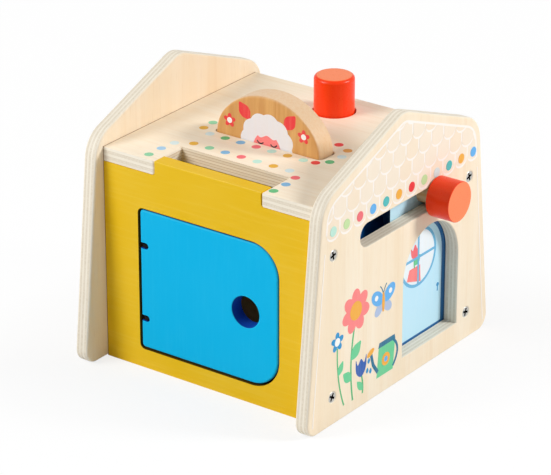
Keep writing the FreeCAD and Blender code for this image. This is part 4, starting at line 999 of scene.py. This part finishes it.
def all_screws(bright):
    """Cross-head screws in both gables, in place of the plain ones."""
    # The cross recesses get a near-black steel: painted shade.
    dark = steel("recess_shade", RECESS_SHADE, 0.5)
    pattern = bpy.data.objects.new("screw_pattern", screw_mesh())
    bpy.context.scene.collection.objects.link(pattern)
    tree, sockets = screw_tree()
    for side, name, seed in ((1, "right_gable_screws", 4), (-1, "left_gable_screws", 9)):
        low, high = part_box(name)
        face = high.x if side > 0 else low.x
        spots = [(face, y, z) for y in (low.y + HEAD_RADIUS, high.y - HEAD_RADIUS)
                 for z in (low.z + HEAD_RADIUS, high.z - HEAD_RADIUS)]
        values = {"Screw": pattern, "Lean": (0.0, side * math.pi / 2, 0.0), "Seed": seed,
                  "Metal": bright, "Recess": dark}
        label = name.replace("gable_screws", "cross_head_screws")
        piece = grown(label, spots, tree, sockets, values)
        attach(piece, "house")
        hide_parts(name)
    bpy.data.objects.remove(pattern)


def add_camera(scene):
    """The view, solved from the object's own edges."""
    lens = bpy.data.cameras.new("camera")
    lens.sensor_fit = "HORIZONTAL"
    lens.sensor_width = 36.0
    lens.lens = 199.16
    lens.clip_start, lens.clip_end = 0.05, 20.0
    camera = bpy.data.objects.new("camera", lens)
    camera.location = (0.9848, -1.3550, 0.8248)
    forward = Vector((-0.5384, 0.7361, -0.4103))
    camera.rotation_euler = forward.to_track_quat("-Z", "Y").to_euler()
    scene.collection.objects.link(camera)
    scene.camera = camera


def add_floor(scene):
    """White floor that glows for the eye, less so near the object, so that its shadow stays."""
    half_width, half_depth = 0.086, 0.095
    fade = 0.09
    reach = 6.0
    mesh = bpy.data.meshes.new("floor")
    corners = [(-reach, -reach, 0), (reach, -reach, 0), (reach, reach, 0), (-reach, reach, 0)]
    mesh.from_pydata(corners, [], [(0, 1, 2, 3)])
    floor = bpy.data.objects.new("floor", mesh)
    scene.collection.objects.link(floor)
    f = Finish("pale_floor")
    seen = f.add("LightPath", {})
    any_seen = f.math("MAXIMUM", seen.outputs["Is Camera Ray"], seen.outputs["Is Glossy Ray"])
    any_seen = f.math("MAXIMUM", any_seen, seen.outputs["Is Transmission Ray"])
    f.finish(f.blend(any_seen, (230, 230, 230), (255, 255, 255)), 0.7)
    glow = f.add("Emission", {"Color": (1, 1, 1, 1), "Strength": 1.0})
    beside, before = (f.math("SUBTRACT", f.math("ABSOLUTE", f.spot[axis]), half)
                      for axis, half in ((X, half_width), (Y, half_depth)))
    away = f.math("MAXIMUM", beside, before)
    share = f.math("MULTIPLY", any_seen, f.span(away, 0.0, fade, 0.78, 0.97))
    both = f.add("MixShader", {0: share, 1: f.shader.outputs[0], 2: glow.outputs[0]})
    output = f.tree.nodes["Material Output"]
    f.tree.links.new(both.outputs[0], output.inputs["Surface"])
    mesh.materials.append(f.material)


def add_surround(scene):
    """White world: full strength to the eye, weaker as a light."""
    world = bpy.data.worlds.new("surround")
    scene.world = world
    world.use_nodes = True
    nodes, links = world.node_tree.nodes, world.node_tree.links
    nodes.clear()
    path = nodes.new("ShaderNodeLightPath")
    seen = path.outputs["Is Camera Ray"]
    for kind in ("Is Transmission Ray", "Is Glossy Ray"):
        either = nodes.new("ShaderNodeMath")
        either.operation = "MAXIMUM"
        links.new(seen, either.inputs[0])
        links.new(path.outputs[kind], either.inputs[1])
        seen = either.outputs[0]
    strength = nodes.new("ShaderNodeMapRange")
    strength.inputs["To Min"].default_value = 0.3
    strength.inputs["To Max"].default_value = 1.0
    links.new(seen, strength.inputs["Value"])
    background = nodes.new("ShaderNodeBackground")
    links.new(strength.outputs[0], background.inputs["Strength"])
    target = nodes.new("ShaderNodeOutputWorld")
    links.new(background.outputs[0], target.inputs["Surface"])


def add_lamps(scene):
    """A high lamp behind on the right, and a wide one in front on the left."""
    target = Vector((0.0, 0.0, 0.08))
    for name, spot, size, power in (("key", (1.42, 0.82, 1.14), 0.5, 25.4),
                                    ("front", (-0.95, -1.35, 1.2), 1.1, 28.0)):
        lamp = bpy.data.lights.new(name, "AREA")
        lamp.shape = "DISK"
        lamp.size = size
        lamp.energy = power
        holder = bpy.data.objects.new(name, lamp)
        holder.location = spot
        aim = target - Vector(spot)
        holder.rotation_euler = aim.to_track_quat("-Z", "Y").to_euler()
        scene.collection.objects.link(holder)


def studio():
    """Camera, floor, white surround and soft lamps."""
    scene = bpy.context.scene
    scene.view_settings.view_transform = "Standard"
    add_camera(scene)
    add_floor(scene)
    add_surround(scene)
    add_lamps(scene)


INK = printed_ink()
bright_steel = dress()
gable_roof()
all_dots()
garden()
sheep()
cottage_door()
all_screws(bright_steel)
studio()
